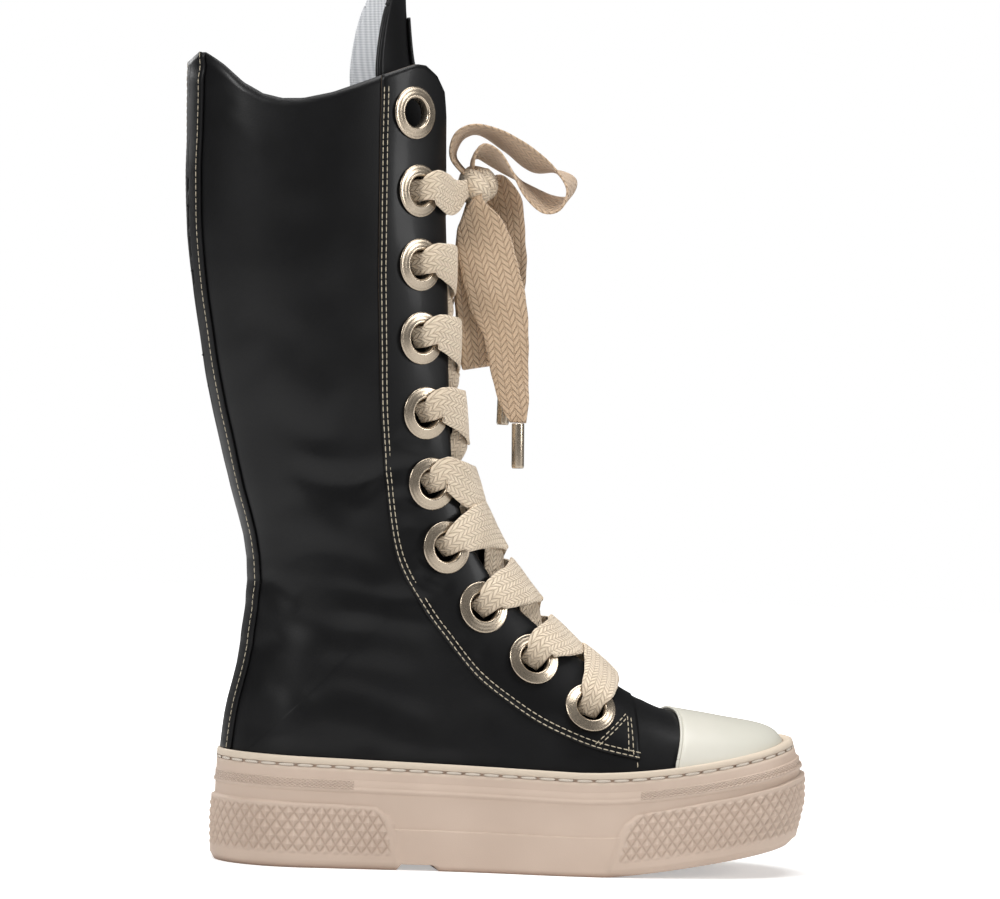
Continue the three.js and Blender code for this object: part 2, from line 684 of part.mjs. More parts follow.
// Blind slots across the tread.
const treadSlots = [
  { from: 0.0468, to: 0.2548, count: 6 },
  { from: 0.4073, to: 0.4558, count: 2 },
  { from: 0.5667, to: 0.955, count: 9 },
];
const slotPlaces = treadSlots.flatMap(({ from, to, count }) =>
  Array.from({ length: count }, (_, i) => sideX(from + ((to - from) * i) / (count - 1))),
);
function treadCutter() {
  return slotPlaces.map((x) => {
    const half = (side) => {
      const here = halfWidth(stationAtBase(x), 0.99, x, cupFloor(x), side);
      return sway(x) + side * (here - slotEdge);
    };
    const [low, high] = [half(-1), half(1)];
    const slot = new THREE.BoxGeometry(slotLength, high - low, 2 * treadDepth);
    slot.translate(x, (low + high) / 2, treadLevel(x));
    return solidOf(slot);
  });
}
function outsole() {
  let sole = soleLoft(soleSteps).add(guard(heelGuardRegion)).add(guard(toeGuardRegion));
  sole = sole.subtract(cupCutter());
  treadCutter().forEach((slot) => (sole = sole.subtract(slot)));
  const [back, front] = [sideX(archGapStart), sideX(archGapEnd)];
  const gap = new THREE.BoxGeometry(front - back, 2 * farSide, 2 * treadDepth);
  gap.translate((front + back) / 2, 0, 0);
  return sole.subtract(solidOf(gap));
}

// The insole lies on the cup's floor inside the wall of the upper.
function insole() {
  const rings = [0, insoleThickness].map((up) =>
    soleEdge(-wall - 2.6, 0).map((p) => new THREE.Vector3(p.x, p.y, cupFloor(p.x) + fit + up)),
  );
  return edgeLoft(rings);
}

// The tongue: a sheet under the facings that follows the upper's form, leans back above the collar and
// wraps round the shin. station is the upper's section, wing the share of its half girth, below its gap
// to the upper's inside, with room for the lace, and setBack how far the sheet sits behind the form.
const tongueRows = [
  { station: 3, wing: 0.3, below: 0.6, setBack: 0 },
  { station: 3.5, wing: 0.33, below: 0.6, setBack: 0 },
  { station: 3.75, wing: 0.35, below: 4.8, setBack: 0 },
  { station: 4, wing: 0.36, below: 6, setBack: 0 },
  { station: 5, wing: 0.36, below: 6, setBack: 0 },
  { station: 6, wing: 0.33, below: 6, setBack: 0 },
  { station: 7, wing: 0.31, below: 6, setBack: 0 },
  { station: 8.5, wing: 0.31, below: 6, setBack: 0 },
  { station: 10, wing: 0.31, below: 6, setBack: 2 },
  { station: 11, wing: 0.32, below: 3.8, setBack: 5 },
  { station: 12, wing: 0.33, below: 3.8, setBack: 8 },
  { station: 13, wing: 0.34, below: 3.8, setBack: 6 },
  { station: 14, wing: 0.34, below: 3.8, setBack: 4 },
  { station: 14.6, wing: 0.33, below: 3.8, setBack: 10 },
  { station: 15, wing: 0.31, below: 3.8, setBack: 16 },
  { station: 15.4, wing: 0.26, below: 3.8, setBack: 19 },
  { station: 15.65, wing: 0.19, below: 3.8, setBack: 20 },
  { station: 15.8, wing: 0.09, below: 3.8, setBack: 20.5 },
];
const tongueAcross = 10;
function tonguePoint(row, across, depth) {
  const s = Math.abs(across) * row.wing;
  const p = offsetPoint(row.station, s, across < 0 ? -1 : 1, -wall - row.below - depth);
  p.x -= row.setBack;
  return p;
}
function tongue() {
  const rings = [];
  for (let r = 0; r < tongueRows.length; r++) {
    const row = tongueRows[r];
    const front = [];
    const back = [];
    for (let k = 0; k <= tongueAcross; k++) {
      const across = (2 * k) / tongueAcross - 1;
      front.push(tonguePoint(row, across, 0));
      back.push(tonguePoint(row, across, tongueThickness));
    }
    rings.push([...front, ...back.reverse()]);
  }
  return loft(rings);
}

// One eyelet: a domed flange with a barrel through the wall.
function eyeletGeometry() {
  const deep = -facingProud - wall - 0.6;
  const profile = [
    [eyeletHole, deep],
    [eyeletHole + eyeletBarrelWall, deep],
    [eyeletHole + eyeletBarrelWall, fit],
    [eyeletFlange, fit],
    [(eyeletFlange + eyeletHole) / 2, fit + eyeletThickness],
    [eyeletHole, fit + eyeletThickness / 3],
    [eyeletHole, deep],
  ];
  return new THREE.LatheGeometry(profile.map(([r, y]) => new THREE.Vector2(r, y)), eyeletSides);
}

// A flat band through rows that each have a place, a face direction, a width and a direction across.
// Its corners are square, and each row is one ring of four points.
function band(rows, thickness) {
  const rings = rows.map(({ at, face, across, width }) => {
    const edge = across.clone().multiplyScalar(width / 2);
    const deep = face.clone().multiplyScalar(thickness / 2);
    return [
      at.clone().sub(edge).add(deep),
      at.clone().add(edge).add(deep),
      at.clone().add(edge).sub(deep),
      at.clone().sub(edge).sub(deep),
    ];
  });
  return loft(rings);
}
// Gives each row of a path its direction across, square to the path and to the row's face.
function acrossPath(rows) {
  return rows.map((row, i) => {
    const before = rows[Math.max(i - 1, 0)].at;
    const after = rows[Math.min(i + 1, rows.length - 1)].at;
    const along = after.clone().sub(before).normalize();
    const across = along.clone().cross(row.face).normalize();
    return { ...row, across, face: across.clone().cross(along).normalize() };
  });
}

// The lace at an eyelet, from inside the shoe out over the flange: out is the distance along the hole's
// axis and ahead towards the throat, both from the middle of the eyelet's seat.
const holePath = [
  { out: -5.6, ahead: -1.5, width: 10 },
  { out: -2, ahead: 1.2, width: 11.5 },
  { out: 1.6, ahead: 3, width: 11.4 },
  { out: 5, ahead: 8.5, width: 17 },
];
function towardsThroat(seat) {
  const front = surface(seat.u, seat.s * 0.6, seat.side).sub(surface(seat.u, seat.s, seat.side));
  return front.addScaledVector(seat.normal, -front.dot(seat.normal)).normalize();
}
function throughHole(seat) {
  const front = towardsThroat(seat);
  return holePath.map(({ out, ahead, width }, i) => {
    const at = seat.face.clone().addScaledVector(seat.normal, out).addScaledVector(front, ahead);
    const face = i < 2 ? front.clone().negate() : seat.normal.clone();
    return { at, face: i === 2 ? face.addScaledVector(front, -0.7).normalize() : face, width };
  });
}
// The lace between two eyelets over the throat: turn is the share of the way across, fall of the eyelet's
// own fall, rest of what is left after it, and over the height above the upper's form, where that isn't
// the eyelet's own.
const crossPath = [
  { turn: 0.22, fall: 0.5, rest: 0, over: 4, width: 23 },
  { turn: 0.5, fall: 1, rest: 0, width: laceWidth },
  { turn: 0.67, fall: 1, rest: 0.6, over: -4.4, width: 17 },
  { turn: 0.86, fall: 1, rest: 0.95, over: -4.3, width: 12 },
];
function overThroat(from, to, path) {
  return path.map(({ turn, fall, rest, over = from.proud, width }) => {
    const down = fall * from.fall + rest * (1 - from.fall);
    const u = from.u + (to.u - from.u) * down;
    const signed = from.side * from.s + (to.side * to.s - from.side * from.s) * turn;
    const side = signed < 0 ? -1 : 1;
    const drop = Math.abs(signed);
    return { at: offsetPoint(u, drop, side, over), face: normalAt(u, drop, side), width };
  });
}
// From one eyelet's outside to the inside of the one below it on the other side.
function crossing(from, to) {
  const inside = throughHole(to)[0];
  const end = { at: inside.at, face: to.normal.clone(), width: inside.width };
  return band(acrossPath([...throughHole(from), ...overThroat(from, to, crossPath), end]), laceThickness);
}
// The lowest bar lies outside both facings.
function lowestBar(from, to) {
  const over = [
    { turn: 0.24, fall: 0, rest: 0.24, over: 4.2, width: 21 },
    { turn: 0.5, fall: 0, rest: 0.5, width: 24 },
    { turn: 0.76, fall: 0, rest: 0.76, over: 5, width: 21 },
  ];
  const far = throughHole(to).reverse();
  return band(acrossPath([...throughHole(from), ...overThroat(from, to, over), ...far]), laceThickness);
}
// From the inside of the third eyelet up behind the facing and out through the second one to the knot.
function laceRise(third, second, ends) {
  const hidden = [
    { turn: 0.2, over: -3.9, width: 12 },
    { turn: 0.5, over: -3.9, width: 13 },
    { turn: 0.8, over: -3.9, width: 12 },
  ].map(({ turn, over, width }) => {
    const u = third.u + (second.u - third.u) * turn;
    const s = third.s + (second.s - third.s) * turn;
    return { at: offsetPoint(u, s, third.side, over), face: normalAt(u, s, third.side), width };
  });
  const start = throughHole(third)[0];
  const out = throughHole(second);
  const inside = [{ ...start, face: third.normal }, ...hidden, { ...out[0], face: second.normal }];
  const behind = band(acrossPath(inside), laceThickness);
  const low = { ...second, u: second.u - 0.16 };
  const middle = { u: low.u, s: 0, side: -second.side };
  const edge = overThroat(low, middle, [{ turn: 0.42, fall: 0, rest: 0, over: 3.5, width: 20 }]);
  const strap = band(acrossPath([...out, ...edge, ...ends]), laceThickness);
  return behind.add(strap);
}

// The bow's bands: each row gives the two edges of the band in the side view, and the band's edges keep
// their own distances across the shoe, nearY and farY.
function edgeBand({ nearY, farY, rows }) {
  const places = rows.map((row) => {
    const near = new THREE.Vector3(row.nearX, row.nearY ?? nearY, row.nearZ);
    const far = new THREE.Vector3(row.farX, row.farY ?? farY, row.farZ);
    const at = near.clone().lerp(far, 0.5);
    return { at, width: near.distanceTo(far), across: far.sub(near).normalize() };
  });
  const faced = places.map((row, i) => {
    const along = places[Math.min(i + 1, places.length - 1)].at.clone().sub(places[Math.max(i - 1, 0)].at);
    return { ...row, face: row.across.clone().cross(along).normalize() };
  });
  return band(faced, laceThickness);
}
const upperLoop = {
  nearY: -8,
  farY: 14,
  rows: [
    { nearX: -36, nearZ: 350, farX: -33, farZ: 352, nearY: -2, farY: 8 },
    { nearX: -44.5, nearZ: 358, farX: -39.2, farZ: 360, nearY: -6, farY: 12 },
    { nearX: -45.5, nearZ: 366, farX: -38, farZ: 366.5 },
    { nearX: -41.5, nearZ: 373, farX: -34.5, farZ: 371 },
    { nearX: -32, nearZ: 376, farX: -27.4, farZ: 372.5 },
    { nearX: -16.8, nearZ: 372.6, farX: -15.1, farZ: 365.2 },
    { nearX: 0.8, nearZ: 362.5, farX: 0.5, farZ: 355 },
    { nearX: 10.5, nearZ: 353, farX: 15, farZ: 356 },
    { nearX: 14.8, nearZ: 344.5, farX: 23.5, farZ: 352 },
    { nearX: 11.3, nearZ: 335.5, farX: 20.5, farZ: 344 },
    { nearX: 3.1, nearZ: 333.5, farX: 12, farZ: 344 },
    { nearX: -6.1, nearZ: 341, farX: 2.2, farZ: 347.5 },
    { nearX: -12.5, nearZ: 352, farX: -8, farZ: 351.5 },
    { nearX: -20.6, nearZ: 364, farX: -20.5, farZ: 357 },
    { nearX: -29, nearZ: 367, farX: -28.5, farZ: 361 },
    { nearX: -33, nearZ: 361, farX: -32, farZ: 357.5, nearY: -5, farY: 11 },
    { nearX: -33, nearZ: 352, farX: -32, farZ: 350, nearY: -1, farY: 7 },
  ],
};
const rearLoop = {
  nearY: 0,
  farY: 0,
  rows: [
    { nearX: -33, nearZ: 341, farX: -26, farZ: 341, nearY: 3.5, farY: 4.5 },
    { nearX: -36, nearZ: 334, farX: -22, farZ: 334, nearY: 3, farY: 5 },
    { nearX: -40, nearZ: 318, farX: -18, farZ: 318, nearY: 0, farY: 4 },
    { nearX: -39, nearZ: 292, farX: -14, farZ: 292, nearY: -1, farY: 3 },
    { nearX: -36, nearZ: 267, farX: -11, farZ: 270, nearY: -1, farY: 3 },
    { nearX: -33.5, nearZ: 252.5, farX: -9, farZ: 257, nearY: 2, farY: 6 },
    { nearX: -36, nearZ: 267, farX: -11, farZ: 270, nearY: 6, farY: 9.5 },
    { nearX: -38, nearZ: 292, farX: -13, farZ: 292, nearY: 8, farY: 11 },
    { nearX: -36, nearZ: 318, farX: -17, farZ: 318, nearY: 9, farY: 11 },
    { nearX: -34, nearZ: 334, farX: -24, farZ: 334, nearY: 8.6, farY: 9.6 },
    { nearX: -32, nearZ: 342, farX: -26, farZ: 342, nearY: 8, farY: 8.6 },
  ],
};
const frontEnd = {
  nearY: -5,
  farY: -8,
  rows: [
    { nearX: -31, nearZ: 342, farX: -27, farZ: 345, nearY: -2.5, farY: -3 },
    { nearX: -35.5, nearZ: 334, farX: -28, farZ: 338.5, nearY: -5.5, farY: -8 },
    { nearX: -40.5, nearZ: 322, farX: -18, farZ: 329 },
    { nearX: -39, nearZ: 303, farX: -9.5, farZ: 313 },
    { nearX: -33, nearZ: 283, farX: -4, farZ: 294 },
    { nearX: -25, nearZ: 270, farX: -1.6, farZ: 272 },
    { nearX: -20, nearZ: 252, farX: -1.2, farZ: 252 },
    { nearX: -15.5, nearZ: 237, farX: 0, farZ: 237 },
    { nearX: -9, nearZ: 226, farX: -1, farZ: 226 },
  ],
};
const rearEnd = {
  nearY: 15,
  farY: 17,
  rows: [
    { nearX: -28, nearZ: 345, farX: -23, farZ: 350, nearY: 8, farY: 9 },
    { nearX: -24, nearZ: 345, farX: -14, farZ: 353 },
    { nearX: -27, nearZ: 330, farX: -4, farZ: 341 },
    { nearX: -27, nearZ: 312, farX: 0.5, farZ: 317 },
    { nearX: -26, nearZ: 292, farX: 0.8, farZ: 297 },
    { nearX: -22, nearZ: 272, farX: -2, farZ: 276 },
    { nearX: -16, nearZ: 258, farX: -4, farZ: 258 },
    { nearX: -12, nearZ: 248, farX: -6, farZ: 248 },
  ],
};
// The knot: a rounded lump in front of the throat.
const knotPlace = new THREE.Vector3(-29.5, 4, 346);
const knotSize = new THREE.Vector3(10.5, 12, 10);
const knotTurn = THREE.MathUtils.degToRad(28);
function knot(grown) {
  const geometry = new THREE.SphereGeometry(1, 12, 8);
  geometry.scale(knotSize.x + grown, knotSize.y + grown, knotSize.z + grown);
  geometry.rotateY(knotTurn);
  geometry.translate(knotPlace.x, knotPlace.y, knotPlace.z);
  return solidOf(geometry);
}
function laceCrossings() {
  const { outer, inner } = seats;
  const last = eyeletRows.length - 1;
  let lace = lowestBar(outer[last], inner[last]);
  for (let i = firstLaced; i < last; i++) {
    lace = lace.add(crossing(outer[i], inner[i + 1])).add(crossing(inner[i], outer[i + 1]));
  }
  [outer, inner].forEach((row) => {
    const aside = row[0].side;
    const face = new THREE.Vector3(0.6, aside * 0.8, 0);
    const ends = [
      { at: knotPlace.clone().add(new THREE.Vector3(-9, aside * 13, -3.5)), face, width: 11 },
      { at: knotPlace.clone().add(new THREE.Vector3(-5, aside * 6, -1)), face, width: 9 },
    ];
    lace = lace.add(laceRise(row[firstLaced], row[firstLaced - 1], ends));
  });
  return lace.subtract(knot(fit));
}
function aglet(end, lean) {
  const row = end.rows[end.rows.length - 1];
  const geometry = new THREE.CylinderGeometry(agletRadius, agletRadius, agletLength, 8);
  geometry.rotateX(Math.PI / 2);
  geometry.rotateY(lean);
  const height = row.nearZ - fit - agletLength / 2;
  geometry.translate((row.nearX + row.farX) / 2, (end.nearY + end.farY) / 2, height);
  return solidOf(geometry);
}
const agletLean = THREE.MathUtils.degToRad(-2);

// The plain patch sewn to the front of the tongue, between two of the tongue's rows.
const patchRows = [14, 15];
const patchAcross = [-0.4, -0.2, 0, 0.2, 0.4];
function tonguePatch() {
  const rings = patchRows.map((r) => {
    const at = (depth) => patchAcross.map((across) => tonguePoint(tongueRows[r], across, depth));
    return [...at(-fit - patchThickness), ...at(-fit).reverse()];
  });
  return loft(rings);
}

const leather = { color: 0x17181a, roughness: 0.42, metalness: 0 };
const rubber = { color: 0xe3cbb6, roughness: 0.7, metalness: 0 };
const capRubber = { color: 0xdcdfd0, roughness: 0.45, metalness: 0 };
const metal = { color: 0xd8c8ac, roughness: 0.2, metalness: 1 };
const cotton = { color: 0xd9c8ae, roughness: 0.95, metalness: 0 };
const lining = { color: 0xd5d8dc, roughness: 0.9, metalness: 0 };

const group = new THREE.Group();
function place(name, solid, finish) {
  const geometry = solid.isBufferGeometry ? solid : geometryOf(solid);
  const mesh = new THREE.Mesh(geometry, new THREE.MeshStandardMaterial(finish));
  mesh.name = name;
  group.add(mesh);
  return mesh;
}
place("outsole", outsole(), rubber);
place("insole", insole(), lining);
place("upper", upperSolid(), leather);
place("toe_cap", toeCap(), capRubber);
place("back_stay", backStay(), leather);
place("tongue", tongue(), leather);
place("tongue_patch", tonguePatch(), leather);
place("lace_crossings", laceCrossings(), cotton);
place("lace_knot", knot(0), cotton);
const bow = { loop_upper: upperLoop, loop_rear: rearLoop, end_front: frontEnd, end_rear: rearEnd };
Object.entries(bow).forEach(
  ([name, shape]) => place(`lace_${name}`, edgeBand(shape).subtract(knot(fit)), cotton),
);
place("aglet_front", aglet(frontEnd, agletLean), metal);
place("aglet_rear", aglet(rearEnd, 0), metal);
Object.entries(seats).forEach(([side, places]) => {
  places.forEach((seat, i) => {
    const mesh = place(`eyelet_${side}_${i + 1}`, geometryOf(solidOf(eyeletGeometry())), metal);
    mesh.applyMatrix4(seat.matrix);
  });
});

export default group;
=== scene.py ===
"""Looks of the knee-high lace-up platform sneaker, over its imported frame, in metres.

+X runs from heel to toe, -Y is the outer side and +Z is up. Tables and formulas are in millimetres and
are brought to metres where a mesh is made.
"""
import math
import bpy
import bmesh
import numpy as np
from mathutils import Matrix, Vector


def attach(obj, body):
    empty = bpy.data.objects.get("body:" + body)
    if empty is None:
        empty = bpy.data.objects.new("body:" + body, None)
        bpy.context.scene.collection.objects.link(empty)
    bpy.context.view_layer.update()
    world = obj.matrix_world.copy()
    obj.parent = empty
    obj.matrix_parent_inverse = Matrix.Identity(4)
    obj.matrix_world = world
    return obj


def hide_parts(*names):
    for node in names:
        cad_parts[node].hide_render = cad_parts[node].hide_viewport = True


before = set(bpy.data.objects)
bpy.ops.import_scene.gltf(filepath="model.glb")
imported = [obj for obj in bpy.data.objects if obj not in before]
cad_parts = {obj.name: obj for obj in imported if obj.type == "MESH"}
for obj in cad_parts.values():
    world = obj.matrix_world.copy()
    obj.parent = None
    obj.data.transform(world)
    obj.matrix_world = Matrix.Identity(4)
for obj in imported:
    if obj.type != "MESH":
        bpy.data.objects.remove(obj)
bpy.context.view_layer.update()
MM = 0.001
BODY = "root"

# Sizes of the sole unit
SOLE_LENGTH = 307
BALL_RISE = 52
HEEL_DROP = 4.1
BALL_X = 25
RIM_TOE_RISE = 21
RIM_TOE_POWER = 1.85
ROCKER_X = 40
TOE_SPRING = 18
TOE_SPRING_POWER = 1.25
CUP_DEPTH = 9
RIM_WALL = 3.4
TOE_BUMPER = 4.6
BUMPER_FROM = 70
PYRAMID_WIDTH = 5.2
PYRAMID_HEIGHT = 7.4
PYRAMID_RISE = 1.35

# Sizes of the upper. The pairs from and to are the sections between which an edge is looked for, and
# the rolls are how fast a layer's edge rounds off.
FOOT_LENGTH = 288.5
BALL_WIDTH = 100
SHAFT_RISE = 348
WALL = 1.8
FACING_PROUD = 1.3
FIT = 0.3
TWIST_TOP = math.radians(10)
TWIST_ARM = 66
TOE_ROUND = 55
TOE_POWER = 2.3
TOE_SWAY = 6
COLLAR_PEAK = 404
COLLAR_DIP = 23
COLLAR_DEPTH = 137
COLLAR_BACK = -181
UPPER_BACK = -SOLE_LENGTH / 2 + 6
UPPER_TIP = UPPER_BACK + FOOT_LENGTH
BASE_GAP = 0.5
SHAFT_LEAN = 0.12
COLLAR_FROM = 12.5
COLLAR_TO = 15.99
FACING_FROM = 2.0
FACING_TO = 6.0
STRIP_FROM = 7.95
STRIP_TO = 10.0
FACING_ROLL = 0.8
CAP_ROLL = 0.9
STRIP_ROLL = 0.7

# Sizes of the trim
EYELET_HOLE = 7.4
HOLE_CLEARANCE = 1.6
HOLE_REACH = 9
FLANGE_REACH = 12.2
LACE_WIDTH = 27
LACE_THICKNESS = 1.8
STRAND_STEP = 2.3
STAY_WIDTH = 26
STITCH_LENGTH = 2.7
STITCH_GAP = 0.6
STITCH_RADIUS = 0.28
WORLD_GLOW = 0.08
BAND_STEP = 1.6
AGLET_LENGTH = 23


def table(columns, rows):
    """The rows of a table as one array for each named column."""
    values = np.array(rows, float)
    return dict(zip(columns.split(), values.T))


# The upper's sections from the toe tip to above the collar, as shares of the foot's length (along), of
# the shaft's rise (up) and of the ball's width (outer, inner, heel_round).
SECTIONS = table("top_along top_up base_along base_up outer inner crown square heel_round", [
    (1.0, 0.012, 1.0, 0, 0.45, 0.46, 1, 2.5, 0.38),
    (0.972, 0.044, 0.962, 0, 0.455, 0.465, 1, 2.5, 0.38),
    (0.879, 0.075, 0.861, 0, 0.465, 0.475, 1, 2.4, 0.38),
    (0.764, 0.109, 0.737, 0, 0.495, 0.485, 1, 2.3, 0.38),
    (0.667, 0.163, 0.588, 0, 0.475, 0.43, 0.85, 2.2, 0.38),
    (0.574, 0.235, 0.407, 0, 0.385, 0.345, 0.62, 2.1, 0.38),
    (0.504, 0.308, 0.199, 0, 0.36, 0.345, 0.46, 2, 0.38),
    (0.459, 0.376, 0.026, 0, 0.35, 0.35, 0.38, 2, 0.38),
    (0.449, 0.4, 0, 0, 0.347, 0.347, 0.38, 2, 0.38),
    (0.438, 0.427, 0.004, 0.072, 0.345, 0.345, 0.38, 2, 0.4),
    (0.421, 0.487, 0.026, 0.175, 0.34, 0.34, 0.42, 2, 0.44),
    (0.406, 0.564, 0.033, 0.302, 0.355, 0.355, 0.46, 2, 0.5),
    (0.392, 0.659, -0.016, 0.44, 0.39, 0.39, 0.48, 2, 0.58),
    (0.378, 0.771, -0.064, 0.6, 0.43, 0.43, 0.5, 2, 0.64),
    (0.367, 0.897, -0.099, 0.764, 0.455, 0.455, 0.5, 2, 0.67),
    (0.36, 1.038, -0.111, 0.957, 0.465, 0.465, 0.5, 2, 0.68),
    (0.357, 1.193, -0.113, 1.181, 0.465, 0.465, 0.5, 2, 0.68),
])
LAST_SECTION = 16
HEEL_SECTION = 8

# The collar in the side view: shares of its depth from the back, and of its dip.
COLLAR_LINE = table("along drop", [
    (-0.1, 0.5), (0, 0.26), (0.04, 0), (0.106, 0.29), (0.177, 0.665), (0.247, 0.896), (0.318, 0.987),
    (0.393, 0.965), (0.503, 0.796), (0.655, 0.426), (0.811, 0.048), (0.85, 0.052), (0.899, 0.243),
    (0.938, 0.596), (0.949, 1.09),
])
THROAT_LINE = table("up gap", [
    (0.115, 0), (0.117, 0.1), (0.133, 0.16), (0.178, 0.2), (0.26, 0.235), (0.4, 0.255), (0.6, 0.265),
    (0.8, 0.27), (1.25, 0.27),
])
FACING_LINE = table("along up", [
    (0.202, 1.1), (0.206, 1.011), (0.214, 0.76), (0.2235, 0.63), (0.235, 0.498), (0.268, 0.324),
    (0.322, 0.2405), (0.364, 0.196), (0.418, 0.145), (0.479, 0.107), (0.543, 0.075), (0.623, 0.049),
    (0.708, 0.0335),
])
EYELETS = table("along up proud fall", [
    (0.269, 0.952, 0, 0), (0.283, 0.8405, 0, 0), (0.2905, 0.7345, -5, 0.45), (0.299, 0.629, -4.6, 0.6),
    (0.313, 0.5215, -2.6, 0.67), (0.329, 0.42, -0.6, 0.8), (0.358, 0.329, 1.2, 0.7),
    (0.4295, 0.244, 3, 0.4), (0.5215, 0.171, 3.6, 0.45), (0.6215, 0.1045, 5.4, 0),
])


def rim_top(x):
    """The height of the rim's top edge: a slow fall to the ball, then a power rise to the toe."""
    heel = BALL_RISE + HEEL_DROP * (BALL_X - x) / (BALL_X - UPPER_BACK)
    ahead = np.maximum(x - BALL_X, 0) / (SOLE_LENGTH / 2 - BALL_X)
    return np.where(x < BALL_X, heel, BALL_RISE + RIM_TOE_RISE * ahead ** RIM_TOE_POWER)


def tread_level(x):
    """The height of the tread: flat, then a power rise of the toe spring."""
    ahead = np.maximum(x - ROCKER_X, 0) / (SOLE_LENGTH / 2 - ROCKER_X)
    return TOE_SPRING * ahead ** TOE_SPRING_POWER


def cup_floor(x):
    """The height of the cup's floor under the foot."""
    return rim_top(x) - CUP_DEPTH


def side_x(along):
    """x for a share of the foot's length."""
    return UPPER_BACK + along * FOOT_LENGTH


def side_z(up):
    """z for a share of the shaft's rise."""
    return cup_floor(np.float64(UPPER_BACK)) + up * SHAFT_RISE


def between(column, row):
    """A smooth value between a column's entries: the cubic through the four nearest ones."""
    count = len(column)
    i = np.clip(np.floor(row).astype(int), 0, count - 2)
    t = row - i
    a, b, c, d = (column[np.clip(i + k, 0, count - 1)] for k in (-1, 0, 1, 2))
    curve = (2 * a - 5 * b + 4 * c - d) * t ** 2 + (3 * b - a - 3 * c + d) * t ** 3
    return b + 0.5 * ((c - a) * t + curve)


def smooth(t):
    """0 to 1 with level ends: t squared times (3 - 2t)."""
    k = np.clip(t, 0, 1)
    return k * k * (3 - 2 * k)


def unit(v):
    """Vectors made 1 long."""
    return v / np.maximum(np.linalg.norm(v, axis=-1, keepdims=True), 1e-12)


def travelled(path):
    """The length along a path up to each of its points."""
    return np.concatenate([[0], np.cumsum(np.linalg.norm(np.diff(path, axis=0), axis=1))])


def rounding(distance, radius, power):
    """A superellipse's rise from 0 at the edge to 1 at the radius."""
    t = np.clip(distance / radius, 0, 1)
    return (1 - (1 - t) ** power) ** (1 / power)


def section_ends(u):
    """The top and base points of section u in the side view."""
    top_x = side_x(between(SECTIONS["top_along"], u))
    base_x = side_x(between(SECTIONS["base_along"], u))
    rise = np.where(u <= HEEL_SECTION, 0, np.maximum(0, between(SECTIONS["base_up"], u)))
    top_z = cup_floor(top_x) + between(SECTIONS["top_up"], u) * SHAFT_RISE
    return top_x, top_z, base_x, cup_floor(base_x) + BASE_GAP + rise * SHAFT_RISE


back_u = np.arange(HEEL_SECTION, LAST_SECTION + 0.01, 0.25)
_, _, BACK_X, BACK_Z = section_ends(back_u)


def back_x(z):
    """The back line of the heel and shaft: x for a height."""
    return np.interp(z, BACK_Z, BACK_X)


ANKLE_Z = 0.22 * SHAFT_RISE + BALL_RISE
ANKLE_AXIS_X = -78


def twist(z):
    """How far the shaft has turned towards the outer side at a height."""
    return TWIST_TOP * smooth((z - ANKLE_Z) / (COLLAR_PEAK - ANKLE_Z))


def shaft_axis(z):
    """The line that the shaft turns about: x for a height."""
    return ANKLE_AXIS_X - SHAFT_LEAN * (z - ANKLE_Z)


def sway(x):
    """How far the toe turns inwards."""
    return TOE_SWAY * smooth((x - BALL_X) / (UPPER_TIP - BALL_X))


def half_width(u, v, x, z, side):
    """Half the upper's width: the section's own, rounded off at its crown, at the heel and at the toe."""
    top_x, top_z, base_x, base_z = section_ends(u)
    long = np.hypot(top_x - base_x, top_z - base_z)
    half = np.where(side < 0, between(SECTIONS["outer"], u), between(SECTIONS["inner"], u)) * BALL_WIDTH
    front = rounding(v * long, between(SECTIONS["crown"], u) * long, between(SECTIONS["square"], u))
    heel = rounding(x - back_x(z), between(SECTIONS["heel_round"], u) * BALL_WIDTH, 2)
    heel = np.where((v > 0.99999) & (u > HEEL_SECTION - 0.01), 0, heel)
    return half * front * heel * rounding(UPPER_TIP - x, TOE_ROUND, TOE_POWER)


def surface(u, s, side):
    """The leather's outside. u is the section, s goes from its top (0) to its base (1), side is -1 outer
    or 1 inner. The point lies v = (1 - cos(pi s)) / 2 down the section's line, half a width out."""
    u, s, side = np.broadcast_arrays(*(np.asarray(a, float) for a in (u, s, side)))
    v = (1 - np.cos(np.pi * np.abs(s))) / 2
    top_x, top_z, base_x, base_z = section_ends(u)
    x = top_x + v * (base_x - top_x)
    z = top_z + v * (base_z - top_z)
    real = side * np.where(s < 0, -1, 1)
    y = real * half_width(u, v, x, z, real) + sway(x)
    c, n = np.cos(twist(z)), np.sin(twist(z))
    axis = shaft_axis(z)
    return np.stack([axis + (x - axis) * c - y * n, (x - axis) * n + y * c, z], -1)


def normal_at(u, s, side):
    """The outward direction there: the cross product of two short steps, turned away from the middle."""
    u, s, side = np.broadcast_arrays(*(np.asarray(a, float) for a in (u, s, side)))
    h = 0.012
    along = surface(np.minimum(u + h, LAST_SECTION), s, side) - surface(np.maximum(u - h, 0), s, side)
    plain = surface(u, np.minimum(s + h, 1), side) - surface(u, np.minimum(s, 1 - h) - h, side)
    closing = surface(u, 1 - h + 0 * s, -side) - surface(u, 1 - h + 0 * s, side)
    across = np.where(((s + h > 1) & (u > HEEL_SECTION - 0.01))[..., None], closing, plain)
    normal = unit(np.cross(along, across))
    middle = (surface(u, 0 * s, 1 + 0 * side) + surface(u, 1 + 0 * s, 1 + 0 * side)) / 2
    middle[..., 0] -= np.maximum(0, 1 - u) * TOE_ROUND
    middle[..., 1] = sway(middle[..., 0])
    out = surface(u, s, side) - middle
    flip = np.where((normal * out).sum(-1, keepdims=True) < 0, -1, 1)
    return normal * flip


def off_surface(u, s, side, offset):
    """A point that far off the leather's outside."""
    return surface(u, s, side) + normal_at(u, s, side) * np.asarray(offset, float)[..., None]


